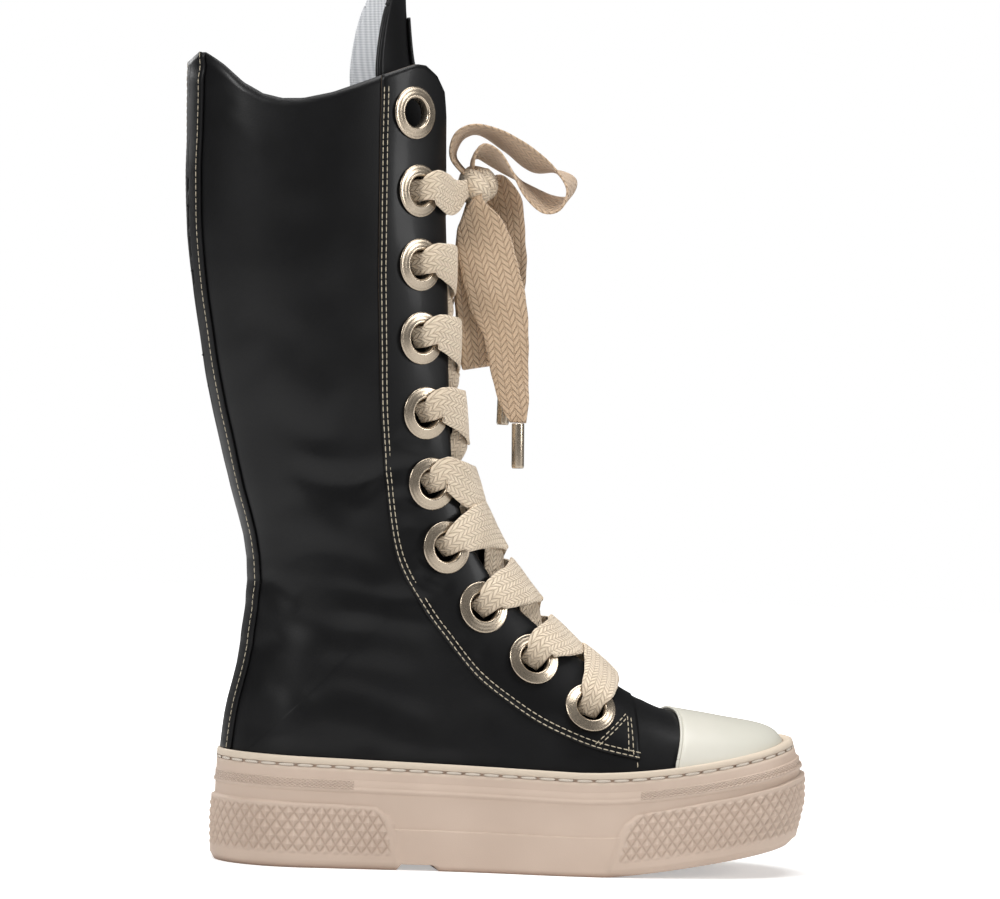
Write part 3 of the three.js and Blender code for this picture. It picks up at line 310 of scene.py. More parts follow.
def solve(height, low, high, turns=34):
    """Where a rising function of u passes zero, by halving the range, for whole arrays."""
    low, high = low + 0.0, high + 0.0
    for _ in range(turns):
        middle = (low + high) / 2
        over = height(middle) > 0
        high = np.where(over, middle, high)
        low = np.where(over, low, middle)
    return (low + high) / 2


def side_to_surface(x, z, side):
    """The section and the share down it of the place that the side view shows at x, z."""
    x, z = np.asarray(x, float), np.asarray(z, float)
    first, last = np.full(x.shape, 0.01), np.full(x.shape, float(LAST_SECTION))
    plain = x.copy()
    for _ in range(8):
        def beyond(u):
            top_x, top_z, base_x, base_z = section_ends(u)
            return (base_x - top_x) * (z - top_z) - (base_z - top_z) * (plain - top_x)
        sign = np.sign(beyond(last) - beyond(first))
        u = solve(lambda at: sign * beyond(at), first, last)
        top_x, top_z, base_x, base_z = section_ends(u)
        reach = (base_x - top_x) ** 2 + (base_z - top_z) ** 2
        v = ((plain - top_x) * (base_x - top_x) + (z - top_z) * (base_z - top_z)) / reach
        y = side * half_width(u, np.clip(v, 0, 1), plain, z, np.full(x.shape, float(side))) + sway(plain)
        axis = shaft_axis(z)
        plain = axis + (x - axis + y * np.sin(twist(z))) / np.cos(twist(z))
    return u, np.arccos(1 - 2 * np.clip(v, 0, 1)) / np.pi


# Materials

class Value:
    """A node socket that can be used in a sum: each operator adds its Math node."""

    def __init__(self, maker, socket):
        self.maker = maker
        self.socket = socket

    def math(self, operation, *others):
        values = {i: other for i, other in enumerate((self, *others))}
        return self.maker.node("ShaderNodeMath", {"operation": operation}, values)

    def __add__(self, other):
        return self.math("ADD", other)

    def __sub__(self, other):
        return self.math("SUBTRACT", other)

    def __mul__(self, other):
        return self.math("MULTIPLY", other)

    def __truediv__(self, other):
        return self.math("DIVIDE", other)

    def __rsub__(self, other):
        return (self * -1) + other

    __radd__ = __add__
    __rmul__ = __mul__

    def fract(self):
        return self.math("FRACT")

    def sine(self):
        return self.math("SINE")

    def size(self):
        return self.math("ABSOLUTE")

    def step(self, low, high):
        """0 below low and 1 above high, with a soft rise."""
        settings = {"interpolation_type": "SMOOTHSTEP"}
        return self.maker.node("ShaderNodeMapRange", settings, {0: self, 1: low, 2: high, 3: 0.0, 4: 1.0})


class Finish:
    """One material and the nodes that it is made of."""

    def __init__(self, name, **shader):
        self.material = bpy.data.materials.new(name)
        self.material.use_nodes = True
        self.tree = self.material.node_tree
        self.shader = self.tree.nodes["Principled BSDF"]
        for socket, value in shader.items():
            self.feed(socket.replace("_", " "), value)

    def node(self, kind, settings=None, values=None, output=0):
        """Adds a node, sets it, then gives its sockets numbers, colours or links."""
        made = self.tree.nodes.new(kind)
        for name, value in (settings or {}).items():
            setattr(made, name, value)
        for key, value in (values or {}).items():
            if isinstance(value, Value):
                self.tree.links.new(value.socket, made.inputs[key])
            else:
                made.inputs[key].default_value = value
        return Value(self, made.outputs[output])

    def feed(self, name, value):
        if isinstance(value, Value):
            self.tree.links.new(value.socket, self.shader.inputs[name])
        elif isinstance(value, tuple):
            self.shader.inputs[name].default_value = (*value, 1)
        else:
            self.shader.inputs[name].default_value = value

    def place(self):
        """The place on the object, in millimetres."""
        at = self.node("ShaderNodeTexCoord", None, None, "Object")
        return self.node("ShaderNodeMapping", None, {0: at, "Scale": (1000, 1000, 1000)})

    def part(self, at, axis):
        """One coordinate of a place."""
        return self.node("ShaderNodeSeparateXYZ", None, {0: at}, axis)

    def strip(self):
        """The two lengths of the piece's own map, across and along, in millimetres."""
        at = self.node("ShaderNodeUVMap", {"uv_map": "lengths"})
        return self.part(at, 0) * 1000, self.part(at, 1) * 1000

    def noise(self, at, scale, detail=3.0, roughness=0.5):
        values = {"Vector": at, "Scale": scale, "Detail": detail, "Roughness": roughness}
        return self.node("ShaderNodeTexNoise", None, values)

    def cells(self, at, scale):
        return self.node("ShaderNodeTexVoronoi", None, {"Vector": at, "Scale": scale}, "Distance")

    def mix(self, factor, first, second):
        """A colour between two."""
        made = self.tree.nodes.new("ShaderNodeMix")
        made.data_type = "RGBA"
        for index, value in ((0, factor), (6, first), (7, second)):
            if isinstance(value, Value):
                self.tree.links.new(value.socket, made.inputs[index])
            elif isinstance(value, tuple):
                made.inputs[index].default_value = (*value, 1)
            else:
                made.inputs[index].default_value = value
        return Value(self, made.outputs[2])

    def relief(self, height, strength, depth_mm):
        """Bumps of that depth in millimetres from a height of 0 to 1."""
        values = {"Strength": strength, "Distance": depth_mm * MM, "Height": height}
        self.feed("Normal", self.node("ShaderNodeBump", None, values))


def leather_finish(name, tone, rough):
    """Smooth calf leather: near-black, fine pores and a soft gloss that wears duller in patches."""
    f = Finish(name, IOR=1.5, Coat_Roughness=0.14, Specular_IOR_Level=0.25)
    at = f.place()
    wear = f.noise(at, 0.03, 4.0, 0.6)
    fine = f.noise(at, 1.3, 3.0)
    pores = f.cells(at, 1.1)
    dark = tuple(k * 0.7 for k in tone)
    f.feed("Base Color", f.mix(wear.step(0.35, 0.7), dark, tone))
    f.feed("Roughness", rough + wear * 0.12 + fine * 0.06)
    f.feed("Coat Weight", 0.14 - wear * 0.11)
    f.relief(pores * 0.7 + fine * 0.5, 0.25, 0.12)
    return f.material


def rubber_finish(name, tone, shade, rough):
    """Moulded rubber: a matte, slightly mottled skin with a fine grain."""
    f = Finish(name, IOR=1.48)
    at = f.place()
    cloud = f.noise(at, 0.02, 3.0)
    grain = f.noise(at, 2.4, 2.0)
    f.feed("Base Color", f.mix(cloud.step(0.3, 0.75), shade, tone))
    f.feed("Roughness", rough + grain * 0.1)
    f.relief(grain, 0.12, 0.1)
    return f.material


def sole_finish():
    """The sole's rubber, with fine diamonds on the two upper step panels, cut by the place on the side."""
    f = Finish("sole_rubber", IOR=1.48)
    at = f.place()
    x, z = f.part(at, 0), f.part(at, 2)
    across, up = f.strip()
    cloud = f.noise(at, 0.02, 3.0)
    grain = f.noise(at, 2.4, 2.0)
    first = ((across + up * 1.7) / 2.3).fract() - 0.5
    second = ((across - up * 1.7) / 2.3).fract() - 0.5
    diamonds = (first.size().step(0.0, 0.5) + second.size().step(0.0, 0.5)) * 0.5
    pattern = f.node("ShaderNodeAttribute", {"attribute_name": "pyramids"}, None, "Fac")
    wave = (across / PYRAMID_WIDTH + up / PYRAMID_HEIGHT).fract() - 0.5
    back_wave = (across / PYRAMID_WIDTH - up / PYRAMID_HEIGHT).fract() - 0.5
    pyramids = wave.size().math("MINIMUM", back_wave.size()) * 2
    valley = pattern * (1 - pyramids.step(0.0, 0.42))
    share = up / BALL_RISE
    band = share.step(0.722, 0.73) * (1 - share.step(0.8, 0.808))
    panel = (1 - x.step(-87, -86)) * band + x.step(57, 58) * band
    low = z.step(0, 3)
    tone = f.mix(cloud.step(0.3, 0.75), (0.56, 0.435, 0.35), (0.61, 0.48, 0.39))
    worn = f.mix(share.step(0.86, 0.97), tone, (0.67, 0.565, 0.45))
    seam = share.step(0.905, 0.914) * (1 - share.step(0.932, 0.94))
    # Painted shade: darker in the valleys between the guards' pyramids, in the rim's stitched groove and
    # between the panels' diamonds.
    painted_shade = valley * 0.36 + seam * 0.75 + panel * (1 - diamonds) * 0.4
    shaded = f.mix(painted_shade, worn, (0.33, 0.22, 0.16))
    # Painted shade along the floor: the lowest 3 mm of the side darker.
    f.feed("Base Color", f.mix(low, (0.42, 0.29, 0.22), shaded))
    f.feed("Roughness", 0.56 + grain * 0.1)
    f.relief(grain * 0.08 + panel * diamonds * 0.6 + pattern * pyramids, 0.9, 1.0)
    return f.material


def braid_finish(name, tone, shade, painted_gap_shade, column, pitch):
    """Flat braided cotton: columns of slanted stitches that meet in V shapes, with soft fuzz."""
    f = Finish(name, IOR=1.4, Sheen_Weight=0.3, Sheen_Roughness=0.5)
    across, along = f.strip()
    at = f.place()
    fold = ((across / column).fract() - 0.5).size()
    slant = (along / pitch + fold * 2.3).fract()
    stitch = (slant - 0.5).size()
    gap = stitch.step(0.3, 0.5)
    seam = (fold - 0.25).size().step(0.17, 0.25)
    height = (1 - gap) * (1 - seam * 0.6)
    fibre = f.noise(at, 1.9, 4.0, 0.65)
    cloud = f.noise(at, 0.05, 2.0)
    base = f.mix(cloud.step(0.3, 0.7), shade, tone)
    # Painted shade: darker in the gaps between the stitches and in the grooves between the columns.
    deep = f.mix(gap * 0.6 + seam * 0.25, base, painted_gap_shade)
    f.feed("Base Color", f.mix(fibre * 0.2, deep, tuple(min(1.0, k * 1.2) for k in tone)))
    f.feed("Roughness", 0.82 + fibre * 0.12)
    f.relief(height * 0.8 + fibre * 0.22, 0.9, 0.75)
    return f.material


def mesh_finish():
    """The light knitted lining: fine ribs crossed by rows of small holes."""
    f = Finish("lining_knit", IOR=1.4, Sheen_Weight=0.2)
    at = f.place()
    y, z = f.part(at, 1), f.part(at, 2)
    rib = (y * (2 * math.pi / 1.6)).sine() * 0.5 + 0.5
    row = (z * (2 * math.pi / 1.3)).sine() * 0.5 + 0.5
    knit = rib * 0.6 + row * 0.4
    # Painted shade: darker in the knit's hollows.
    f.feed("Base Color", f.mix(knit, (0.6, 0.62, 0.65), (0.9, 0.91, 0.93)))
    f.feed("Roughness", 0.82 + knit * 0.08)
    f.relief(knit, 0.6, 0.4)
    return f.material


def metal_finish(name, tone):
    """Polished plating with faint hairlines."""
    f = Finish(name, Metallic=0.85)
    at = f.place()
    cloud = f.noise(at, 0.2, 3.0)
    hair = f.noise(at, 1.5, 2.0)
    f.feed("Base Color", f.mix(cloud.step(0.3, 0.7), tuple(k * 0.93 for k in tone), tone))
    f.feed("Roughness", 0.2 + cloud * 0.1 + hair * 0.03)
    return f.material


def thread_finish(name, tone):
    """Twisted thread: slanting plies along each stitch."""
    f = Finish(name, IOR=1.4)
    at = f.place()
    x, z = f.part(at, 0), f.part(at, 2)
    ply = ((x + z * 0.7) * (2 * math.pi / 0.9)).sine() * 0.5 + 0.5
    # Painted shade: darker between the plies.
    f.feed("Base Color", f.mix(ply, tuple(k * 0.72 for k in tone), tone))
    f.feed("Roughness", 0.66 + ply * 0.1)
    f.relief(ply, 0.4, 0.12)
    return f.material


LEATHER = leather_finish("leather_black", (0.0045, 0.0045, 0.005), 0.34)
EDGE_LEATHER = leather_finish("leather_cut_edge", (0.16, 0.115, 0.08), 0.55)
SOLE_RUBBER = sole_finish()
CAP_RUBBER = rubber_finish("cap_rubber", (0.66, 0.635, 0.56), (0.61, 0.595, 0.52), 0.38)
COTTON = braid_finish("lace_cotton", (0.86, 0.72, 0.55), (0.78, 0.64, 0.48), (0.45, 0.32, 0.2), 5.2, 3.0)
# A darker, warmer copy of the lace cotton for the bow's free ends and loops: painted shade.
PAINTED_SHADE_COTTON = braid_finish(
    "lace_cotton_painted_shade", (0.62, 0.455, 0.31), (0.55, 0.395, 0.26), (0.3, 0.18, 0.1), 6.6, 3.5)
LINING = mesh_finish()
PLATING = metal_finish("pale_plating", (0.52, 0.435, 0.335))
THREAD = thread_finish("cream_thread", (0.62, 0.54, 0.4))
SOLE_THREAD = thread_finish("sole_thread", (0.7, 0.62, 0.53))


# Meshes

def finish_piece(name, mesh, material, replaced=()):
    """Puts a mesh on the body as a shown piece with its finish."""
    piece = bpy.data.objects.new(name, mesh)
    bpy.context.scene.collection.objects.link(piece)
    piece.data.materials.append(material)
    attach(piece, BODY)
    if replaced:
        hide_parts(*replaced)
    return piece


def mesh_of(name, points, faces, lengths=None, merge=0.0, pyramids=None):
    """A mesh from points in millimetres and faces. lengths are the two map lengths of each point, and
    pyramids says how far each point lies in a patterned guard."""
    mesh = bpy.data.meshes.new(name)
    mesh.from_pydata((points * MM).tolist(), [], faces if isinstance(faces, list) else faces.tolist())
    if lengths is not None:
        layer = mesh.uv_layers.new(name="lengths")
        corners = np.empty(len(mesh.loops), np.int32)
        mesh.loops.foreach_get("vertex_index", corners)
        layer.data.foreach_set("uv", (lengths[corners] * MM).astype(np.float32).ravel())
    if pyramids is not None:
        mask = mesh.attributes.new("pyramids", "FLOAT", "POINT")
        mask.data.foreach_set("value", pyramids.astype(np.float32))
    if merge:
        work = bmesh.new()
        work.from_mesh(mesh)
        bmesh.ops.remove_doubles(work, verts=work.verts, dist=merge * MM)
        bmesh.ops.dissolve_degenerate(work, edges=work.edges, dist=1e-7)
        work.to_mesh(mesh)
        work.free()
    mesh.polygons.foreach_set("use_smooth", np.ones(len(mesh.polygons), bool))
    mesh.update()
    return mesh


def grid_faces(rows, columns, around=False, start=0):
    """The quads of a grid of points, closed round its columns if asked."""
    r, c = np.meshgrid(np.arange(rows - 1), np.arange(columns if around else columns - 1), indexing="ij")
    nxt = (c + 1) % columns
    low, high = r * columns, (r + 1) * columns
    return np.stack([low + c, low + nxt, high + nxt, high + c], -1).reshape(-1, 4) + start


def tube_faces(rows, columns):
    """The quads round a closed band of points and its two end faces."""
    ends = [list(range(columns))[::-1], list(range((rows - 1) * columns, rows * columns))]
    return grid_faces(rows, columns, True).tolist() + ends


def solidify(piece, thickness, even=True):
    """Gives a sheet its thickness, inwards from its outer face."""
    layer = piece.modifiers.new("wall", "SOLIDIFY")
    layer.thickness = thickness * MM
    layer.offset = -1.0
    layer.use_even_offset = even
    return layer


def outward(piece):
    """Recalculates the normals of a closed or folded sheet so that they point outwards."""
    work = bmesh.new()
    work.from_mesh(piece.data)
    bmesh.ops.recalc_face_normals(work, faces=work.faces)
    work.to_mesh(piece.data)
    work.free()


# Camera, as the photo was taken: level, from the toe side of straight on, with a small roll

AIM = Vector((-0.0126, 0, 0.212))
CAMERA_TURN = math.radians(-10)
CAMERA_ROLL = math.radians(2.4)
CAMERA_DISTANCE = 2.2
LENS = 155.2
camera_data = bpy.data.cameras.new("camera")
camera_data.lens = LENS
camera_data.sensor_width = 36
camera = bpy.data.objects.new("camera", camera_data)
bpy.context.scene.collection.objects.link(camera)
right = Vector((math.cos(CAMERA_TURN), math.sin(CAMERA_TURN), 0))
ahead = Vector((-math.sin(CAMERA_TURN), math.cos(CAMERA_TURN), 0))
up = Vector((0, 0, 1))
across = right * math.cos(CAMERA_ROLL) + up * math.sin(CAMERA_ROLL)
upright = up * math.cos(CAMERA_ROLL) - right * math.sin(CAMERA_ROLL)
turn = Matrix((across, upright, -ahead)).transposed().to_4x4()
camera.matrix_world = Matrix.Translation(AIM - ahead * CAMERA_DISTANCE) @ turn
bpy.context.scene.camera = camera


# Laces

def eyelet_seat(along, height, side):
    """The middle and the outward direction of an eyelet, lifted until its flange clears the leather."""
    x, z = side_x(along), side_z(height)
    u, s = side_to_surface(np.array([x]), np.array([z]), side)
    middle = surface(u, s, side)[0]
    normal = normal_at(u, s, side)[0]
    angle = np.arange(8) * math.pi / 4
    near = x + FLANGE_REACH * np.cos(angle), z + FLANGE_REACH * np.sin(angle)
    near_u, near_s = side_to_surface(*near, side)
    lift = max(0.0, float(((surface(near_u, near_s, side) - middle) @ normal).max()))
    face = middle + normal * (FACING_PROUD + lift)
    front = surface(u, s * 0.6, side)[0] - middle
    front = front - normal * (front @ normal)
    return {"face": face, "normal": normal, "front": unit(front), "u": u[0], "s": s[0], "side": side}


PLACES = list(zip(EYELETS["along"], EYELETS["up"]))
SEATS = {side: [eyelet_seat(*place, side) for place in PLACES] for side in (-1, 1)}
for side, row in SEATS.items():
    for seat, proud, fall in zip(row, EYELETS["proud"], EYELETS["fall"]):
        seat["proud"] = proud - (STRAND_STEP if side > 0 else 0)
        seat["fall"] = fall


# The lace through a hole: its place out of the flange's face and ahead of the middle, and its width.
HOLE_PATH = [(-5.6, -1.5, 10), (-2, 1.2, 11.5), (1.6, 3, 11.4), (5, 8.5, 17)]


def through_hole(seat):
    """The lace from inside the shoe out over the flange: rows of place, face direction and width."""
    rows = []
    for i, (out, ahead_by, width) in enumerate(HOLE_PATH):
        at = seat["face"] + seat["normal"] * out + seat["front"] * ahead_by
        face = -seat["front"] if i < 2 else seat["normal"]
        if i == 2:
            face = unit(face - 0.7 * seat["front"])
        rows.append((at, face, width))
    return rows


def over_throat(start, end, path):
    """The lace between two eyelets: rows of turn, fall, rest, height over the leather and width."""
    rows = []
    for share, fall, rest, over, width in path:
        over = start["proud"] if over is None else over
        down = fall * start["fall"] + rest * (1 - start["fall"])
        u = start["u"] + (end["u"] - start["u"]) * down
        signed = start["side"] * start["s"] + (end["side"] * end["s"] - start["side"] * start["s"]) * share
        side = -1 if signed < 0 else 1
        at = off_surface([u], [abs(signed)], [side], [over])[0]
        rows.append((at, normal_at([u], [abs(signed)], [side])[0], width))
    return rows


CROSS_PATH = [
    (0.22, 0.5, 0, 4, 23), (0.5, 1, 0, None, LACE_WIDTH),
    (0.67, 1, 0.6, -4.4, 17), (0.86, 1, 0.95, -4.3, 12),
]
LOWEST_PATH = [(0.24, 0, 0.24, 4.2, 21), (0.5, 0, 0.5, None, 24), (0.76, 0, 0.76, 5, 21)]


def crossing(start, end):
    """The lace from an eyelet over the throat and under the other facing to the next one."""
    inside = through_hole(end)[0]
    over = over_throat(start, end, CROSS_PATH)
    return [*through_hole(start), *over, (inside[0], end["normal"], inside[2])]


def lowest_bar(start, end):
    """The lace straight across between the lowest two eyelets."""
    return [*through_hole(start), *over_throat(start, end, LOWEST_PATH), *reversed(through_hole(end))]


def spaced_rows(places):
    """Places in a table of points, about BAND_STEP apart and at least three to a row."""
    length = np.linalg.norm(np.diff(places, axis=0), axis=1)
    counts = [max(3, int(n / BAND_STEP)) for n in length]
    rows = [np.linspace(i, i + 1, n, endpoint=False) for i, n in enumerate(counts)]
    return np.append(np.concatenate(rows), len(places) - 1.0)


def through(values, row):
    """Points or directions on the smooth line through a table of them."""
    return np.stack([between(values[:, k], row) for k in range(3)], -1)


def band_frames(rows):
    """Fits a smooth run of places, directions across and widths through the rows of a band. The direction
    across is the path's direction crossed with the face."""
    places = np.array([r[0] for r in rows])
    faces = np.array([r[1] for r in rows])
    widths = np.array([r[2] for r in rows], float)
    row = spaced_rows(places)
    at, face = through(places, row), through(faces, row)
    along = unit(np.gradient(at, axis=0))
    side = unit(np.cross(along, face))
    return at, side, np.cross(side, along), between(widths, row)


def ribbon(name, frames, cup, seed):
    """A flat braided band with round edges along its frames.

    Its section is a squashed ring of 26 points: a superellipse of power 3.2, thicker at both edges like
    a rope selvedge. cup bows it by cup times the squared share across. The map holds the lengths across
    and along."""
    at, side, face, width = frames
    count = 26
    a = np.linspace(0, 2 * np.pi, count, endpoint=False)
    c, s = np.cos(a), np.sin(a)
    across = np.sign(c) * np.abs(c) ** (2 / 3.2)
    deep = np.sign(s) * np.abs(s) ** (2 / 2.6)
    edge = 1 + 0.35 * np.exp(-((np.abs(across) - 0.93) / 0.09) ** 2)
    travel = travelled(at)
    wave = 1 + 0.018 * np.sin(travel / 5.3 + seed) + 0.012 * np.sin(travel / 2.1 + 2 * seed)
    half = (width * wave / 2)[:, None]
    out = across[None, :] * half
    lift = deep[None, :] * edge[None, :] * LACE_THICKNESS / 2 - cup * (across[None, :] ** 2)
    points = at[:, None] + side[:, None] * out[..., None] + face[:, None] * lift[..., None]
    lengths = np.stack([out + np.zeros_like(lift), np.broadcast_to(travel[:, None], out.shape)], -1)
    return mesh_of(name, points.reshape(-1, 3), tube_faces(len(at), count), lengths.reshape(-1, 2))


def joined(name, meshes):
    """One mesh of several."""
    work = bmesh.new()
    for mesh in meshes:
        work.from_mesh(mesh)
    whole = bpy.data.meshes.new(name)
    work.to_mesh(whole)
    work.free()
    whole.polygons.foreach_set("use_smooth", np.ones(len(whole.polygons), bool))
    whole.update()
    return whole


KNOT_PLACE = np.array([-29.5, 4, 346])
KNOT_SIZE = (10.5, 12, 10)
KNOT_TURN = math.radians(28)


def crossings_mesh():
    """All the crossings, the lowest bar and the two straps that run up to the knot."""
    outer, inner = SEATS[-1], SEATS[1]
    runs = [lowest_bar(outer[9], inner[9])]
    for i in range(2, 9):
        runs += [crossing(outer[i], inner[i + 1]), crossing(inner[i], outer[i + 1])]
    for row in (outer, inner):
        aside = row[0]["side"]
        face = np.array([0.6, aside * 0.8, 0])
        ends = [
            (KNOT_PLACE + (-9, aside * 13, -3.5), face, 11),
            (KNOT_PLACE + (-4, aside * 5, -1), face, 9),
        ]
        third, second = row[2], row[1]
        hidden = []
        for share, over, width in [(0.2, -3.9, 12), (0.5, -3.9, 13), (0.8, -3.9, 12)]:
            u = third["u"] + (second["u"] - third["u"]) * share
            s = third["s"] + (second["s"] - third["s"]) * share
            at = off_surface([u], [s], [aside], [over])[0]
            hidden.append((at, normal_at([u], [s], [aside])[0], width))
        start, out = through_hole(third)[0], through_hole(second)
        low, high = (start[0], third["normal"], start[2]), (out[0][0], second["normal"], out[0][2])
        runs.append([low, *hidden, high])
        low = dict(second, u=second["u"] - 0.16)
        edge = over_throat(low, dict(low, s=0, side=-aside), [(0.42, 0, 0, 3.5, 20)])
        runs.append([*out, *edge, *ends])
    return joined("laced", [ribbon("run", band_frames(run), 0.5, float(i)) for i, run in enumerate(runs)])


finish_piece("lace_crossed", crossings_mesh(), COTTON, ["lace_crossings"])


def edge_frames(near_y, far_y, rows):
    """The frames of a band whose two edges are given in the side view: near x, near z, far x, far z and,
    where they differ, near y and far y."""
    near = np.array([(r[0], r[4] if len(r) > 4 else near_y, r[1]) for r in rows], float)
    far = np.array([(r[2], r[5] if len(r) > 4 else far_y, r[3]) for r in rows], float)
    row = spaced_rows((near + far) / 2)
    near, far = through(near, row), through(far, row)
    at = (near + far) / 2
    side = unit(far - near)
    face = unit(np.cross(side, np.gradient(at, axis=0)))
    return at, side, face, np.linalg.norm(far - near, axis=1)


UPPER_LOOP = (-8, 14, [
    (-36, 350, -33, 352, -2, 8), (-44.5, 358, -39.2, 360, -6, 12), (-45.5, 366, -38, 366.5),
    (-41.5, 373, -34.5, 371), (-32, 376, -27.4, 372.5), (-16.8, 372.6, -15.1, 365.2),
    (0.8, 362.5, 0.5, 355), (10.5, 353, 15, 356), (14.8, 344.5, 23.5, 352), (11.3, 335.5, 20.5, 344),
    (3.1, 333.5, 12, 344), (-6.1, 341, 2.2, 347.5), (-12.5, 352, -8, 351.5), (-20.6, 364, -20.5, 357),
    (-29, 367, -28.5, 361), (-33, 361, -32, 357.5, -5, 11), (-33, 352, -32, 350, -1, 7),
])
REAR_LOOP = (0, 0, [
    (-33, 341, -26, 341, 3.5, 4.5), (-36, 334, -22, 334, 3, 5), (-40, 318, -18, 318, 0, 4),
    (-39, 292, -14, 292, -1, 3), (-36, 267, -11, 270, -1, 3), (-33.5, 252.5, -9, 257, 2, 6),
    (-36, 267, -11, 270, 6, 9.5), (-38, 292, -13, 292, 8, 11), (-36, 318, -17, 318, 9, 11),
    (-34, 334, -24, 334, 8.6, 9.6), (-32, 342, -26, 342, 8, 8.6),
])
FRONT_END = (-5, -8, [
    (-33, 345, -31, 348, 6, 7), (-31, 342, -27, 345, -2.5, -3), (-35.5, 334, -28, 338.5, -5.5, -8),
    (-40.5, 322, -18, 329), (-38.2, 304, -10.6, 312.8), (-32.2, 283.6, -5, 293.6),
    (-25, 270, -1.6, 272), (-20, 252, -1.2, 252), (-15.5, 237, 0, 237), (-9, 226, -1, 226),
])
REAR_END = (15, 17, [
    (-37, 345, -36, 348, 2, 3), (-31, 345, -28, 349, 5, 6), (-28, 345, -23, 350, 8, 9),
    (-24, 345, -14, 353), (-27, 330, -4, 341), (-26, 312, -0.5, 317),
    (-25.5, 292, 0, 297), (-22, 272, -2, 276), (-16, 258, -4, 258), (-12, 248, -6, 248),
])


def knot_mesh():
    """The bow's knot: an ellipsoid with two deep folds where the bands cross, as radius times
    1 + 0.1 sin(2 longitude + 3 latitude) less soft troughs."""
    rows, columns = 40, 60
    lat = np.linspace(-np.pi / 2, np.pi / 2, rows)[:, None]
    lon = np.linspace(0, 2 * np.pi, columns, endpoint=False)[None, :]
    fold = np.exp(-((np.sin(lat * 1.1 + 0.9 * np.sin(lon + 0.6))) / 0.16) ** 2)
    radius = 1.0 + 0.05 * np.sin(2 * lon + 3 * lat) - 0.16 * fold * np.cos(lat)
    x = KNOT_SIZE[0] * radius * np.cos(lat) * np.cos(lon)
    y = KNOT_SIZE[1] * radius * np.cos(lat) * np.sin(lon)
    z = KNOT_SIZE[2] * radius * np.sin(lat) + 0 * lon
    c, s = math.cos(KNOT_TURN), math.sin(KNOT_TURN)
    points = np.stack([x * c + z * s, y, z * c - x * s], -1) + KNOT_PLACE
    lengths = np.stack(np.broadcast_arrays(lat * 10, lon * 10), -1)
    faces = grid_faces(rows, columns, True)
    return mesh_of("knot", points.reshape(-1, 3), faces, lengths.reshape(-1, 2), merge=0.001)


knot = finish_piece("lace_knotted", knot_mesh(), COTTON, ["lace_knot"])
outward(knot)


def free_lace(name, spec, node, seed):
    """A free stretch of lace as a cord that goes out of the knot."""
    frames = edge_frames(*spec)
    piece = finish_piece(name, ribbon(name, frames, 0.4, seed), PAINTED_SHADE_COTTON, [node])
    outward(piece)
    path = frames[0] * MM


AGLET_PROFILE = table("radius share", [
    (0.01, 0), (3.1, 0), (3.2, 0.02), (3.2, 0.94), (3.1, 0.975), (2.8, 1), (2.3, 0.985), (2.2, 0.9),
    (0.01, 0.9),
])


def aglet_mesh(spec, lean):
    """A metal tip: a tube with a rolled lip, turned about its line. Its profile is a table of radius and
    share of the length."""
    near_y, far_y, rows = spec
    last = rows[-1]
    top = np.array([(last[0] + last[2]) / 2, (near_y + far_y) / 2, last[1] - FIT])
    a = np.linspace(0, 2 * np.pi, 28, endpoint=False)
    r, down = AGLET_PROFILE["radius"][:, None], AGLET_PROFILE["share"][:, None] * AGLET_LENGTH
    x, y, z = r * np.cos(a), r * np.sin(a), -down + 0 * a
    c, s = math.cos(lean), math.sin(lean)
    points = np.stack([x * c + z * s, y, z * c - x * s], -1) + top
    faces = grid_faces(len(r), len(a), True)
    return mesh_of("aglet", points.reshape(-1, 3), faces, merge=0.03)


front_mesh, rear_mesh = aglet_mesh(FRONT_END, math.radians(-2)), aglet_mesh(REAR_END, 0)
tip_front = finish_piece("lace_tip_front", front_mesh, PLATING, ["aglet_front"])
tip_rear = finish_piece("lace_tip_rear", rear_mesh, PLATING, ["aglet_rear"])
for tip in (tip_front, tip_rear):
    outward(tip)
free_lace("bow_end_front", FRONT_END, "lace_end_front", 0.3)
free_lace("bow_end_rear", REAR_END, "lace_end_rear", 1.3)
free_lace("bow_loop_upper", UPPER_LOOP, "lace_loop_upper", 2.1)
free_lace("bow_loop_rear", REAR_LOOP, "lace_loop_rear", 2.9)


# Leather upper

throat_z = np.array([side_z(a) for a in THROAT_LINE["up"]])
throat_gap = THROAT_LINE["gap"] * BALL_WIDTH


def throat_share(u, side):
    """How far down each section the throat's edge lies: the first place outside its front view."""
    shares = np.linspace(0, 0.75, 700)
    p = surface(u[:, None], shares[None, :], side)
    centre = np.sin(twist(p[..., 2])) * TWIST_ARM
    gap = np.interp(p[..., 2], throat_z, throat_gap, left=-1)
    outside = (np.abs(p[..., 1] - centre) >= gap) | (p[..., 2] < throat_z[0])
    return shares[np.argmax(outside, axis=1)]


FINE_U = np.linspace(0, LAST_SECTION, 801)
THROAT = {side: throat_share(FINE_U, side) for side in (-1, 1)}


def soften(values, times):
    """Evens out a line of values: each becomes a mean of itself and its neighbours."""
    for _ in range(times):
        values = np.convolve(np.pad(values, 1, mode="edge"), [0.25, 0.5, 0.25], "valid")
    return values


for side in THROAT:
    start = np.argmax(THROAT[side] > 0)
    THROAT[side][start:] = soften(THROAT[side][start:], 4)


def throat_edge(u, side):
    """The throat's edge as a share down each section."""
    return np.interp(u, FINE_U, THROAT[side])


def collar_height(x):
    """The collar's height at x in the side view."""
    line_x = COLLAR_BACK + COLLAR_LINE["along"] * COLLAR_DEPTH
    return COLLAR_PEAK - COLLAR_DIP * np.interp(x, line_x, COLLAR_LINE["drop"])


def collar_cut(down, side, shape):
    """The section at which each line up the upper meets the collar. down gives its share at a section."""
    def above(u):
        p = surface(u, down(u), side)
        return p[..., 2] - collar_height(p[..., 0])
    return solve(above, np.full(shape, COLLAR_FROM), np.full(shape, COLLAR_TO))


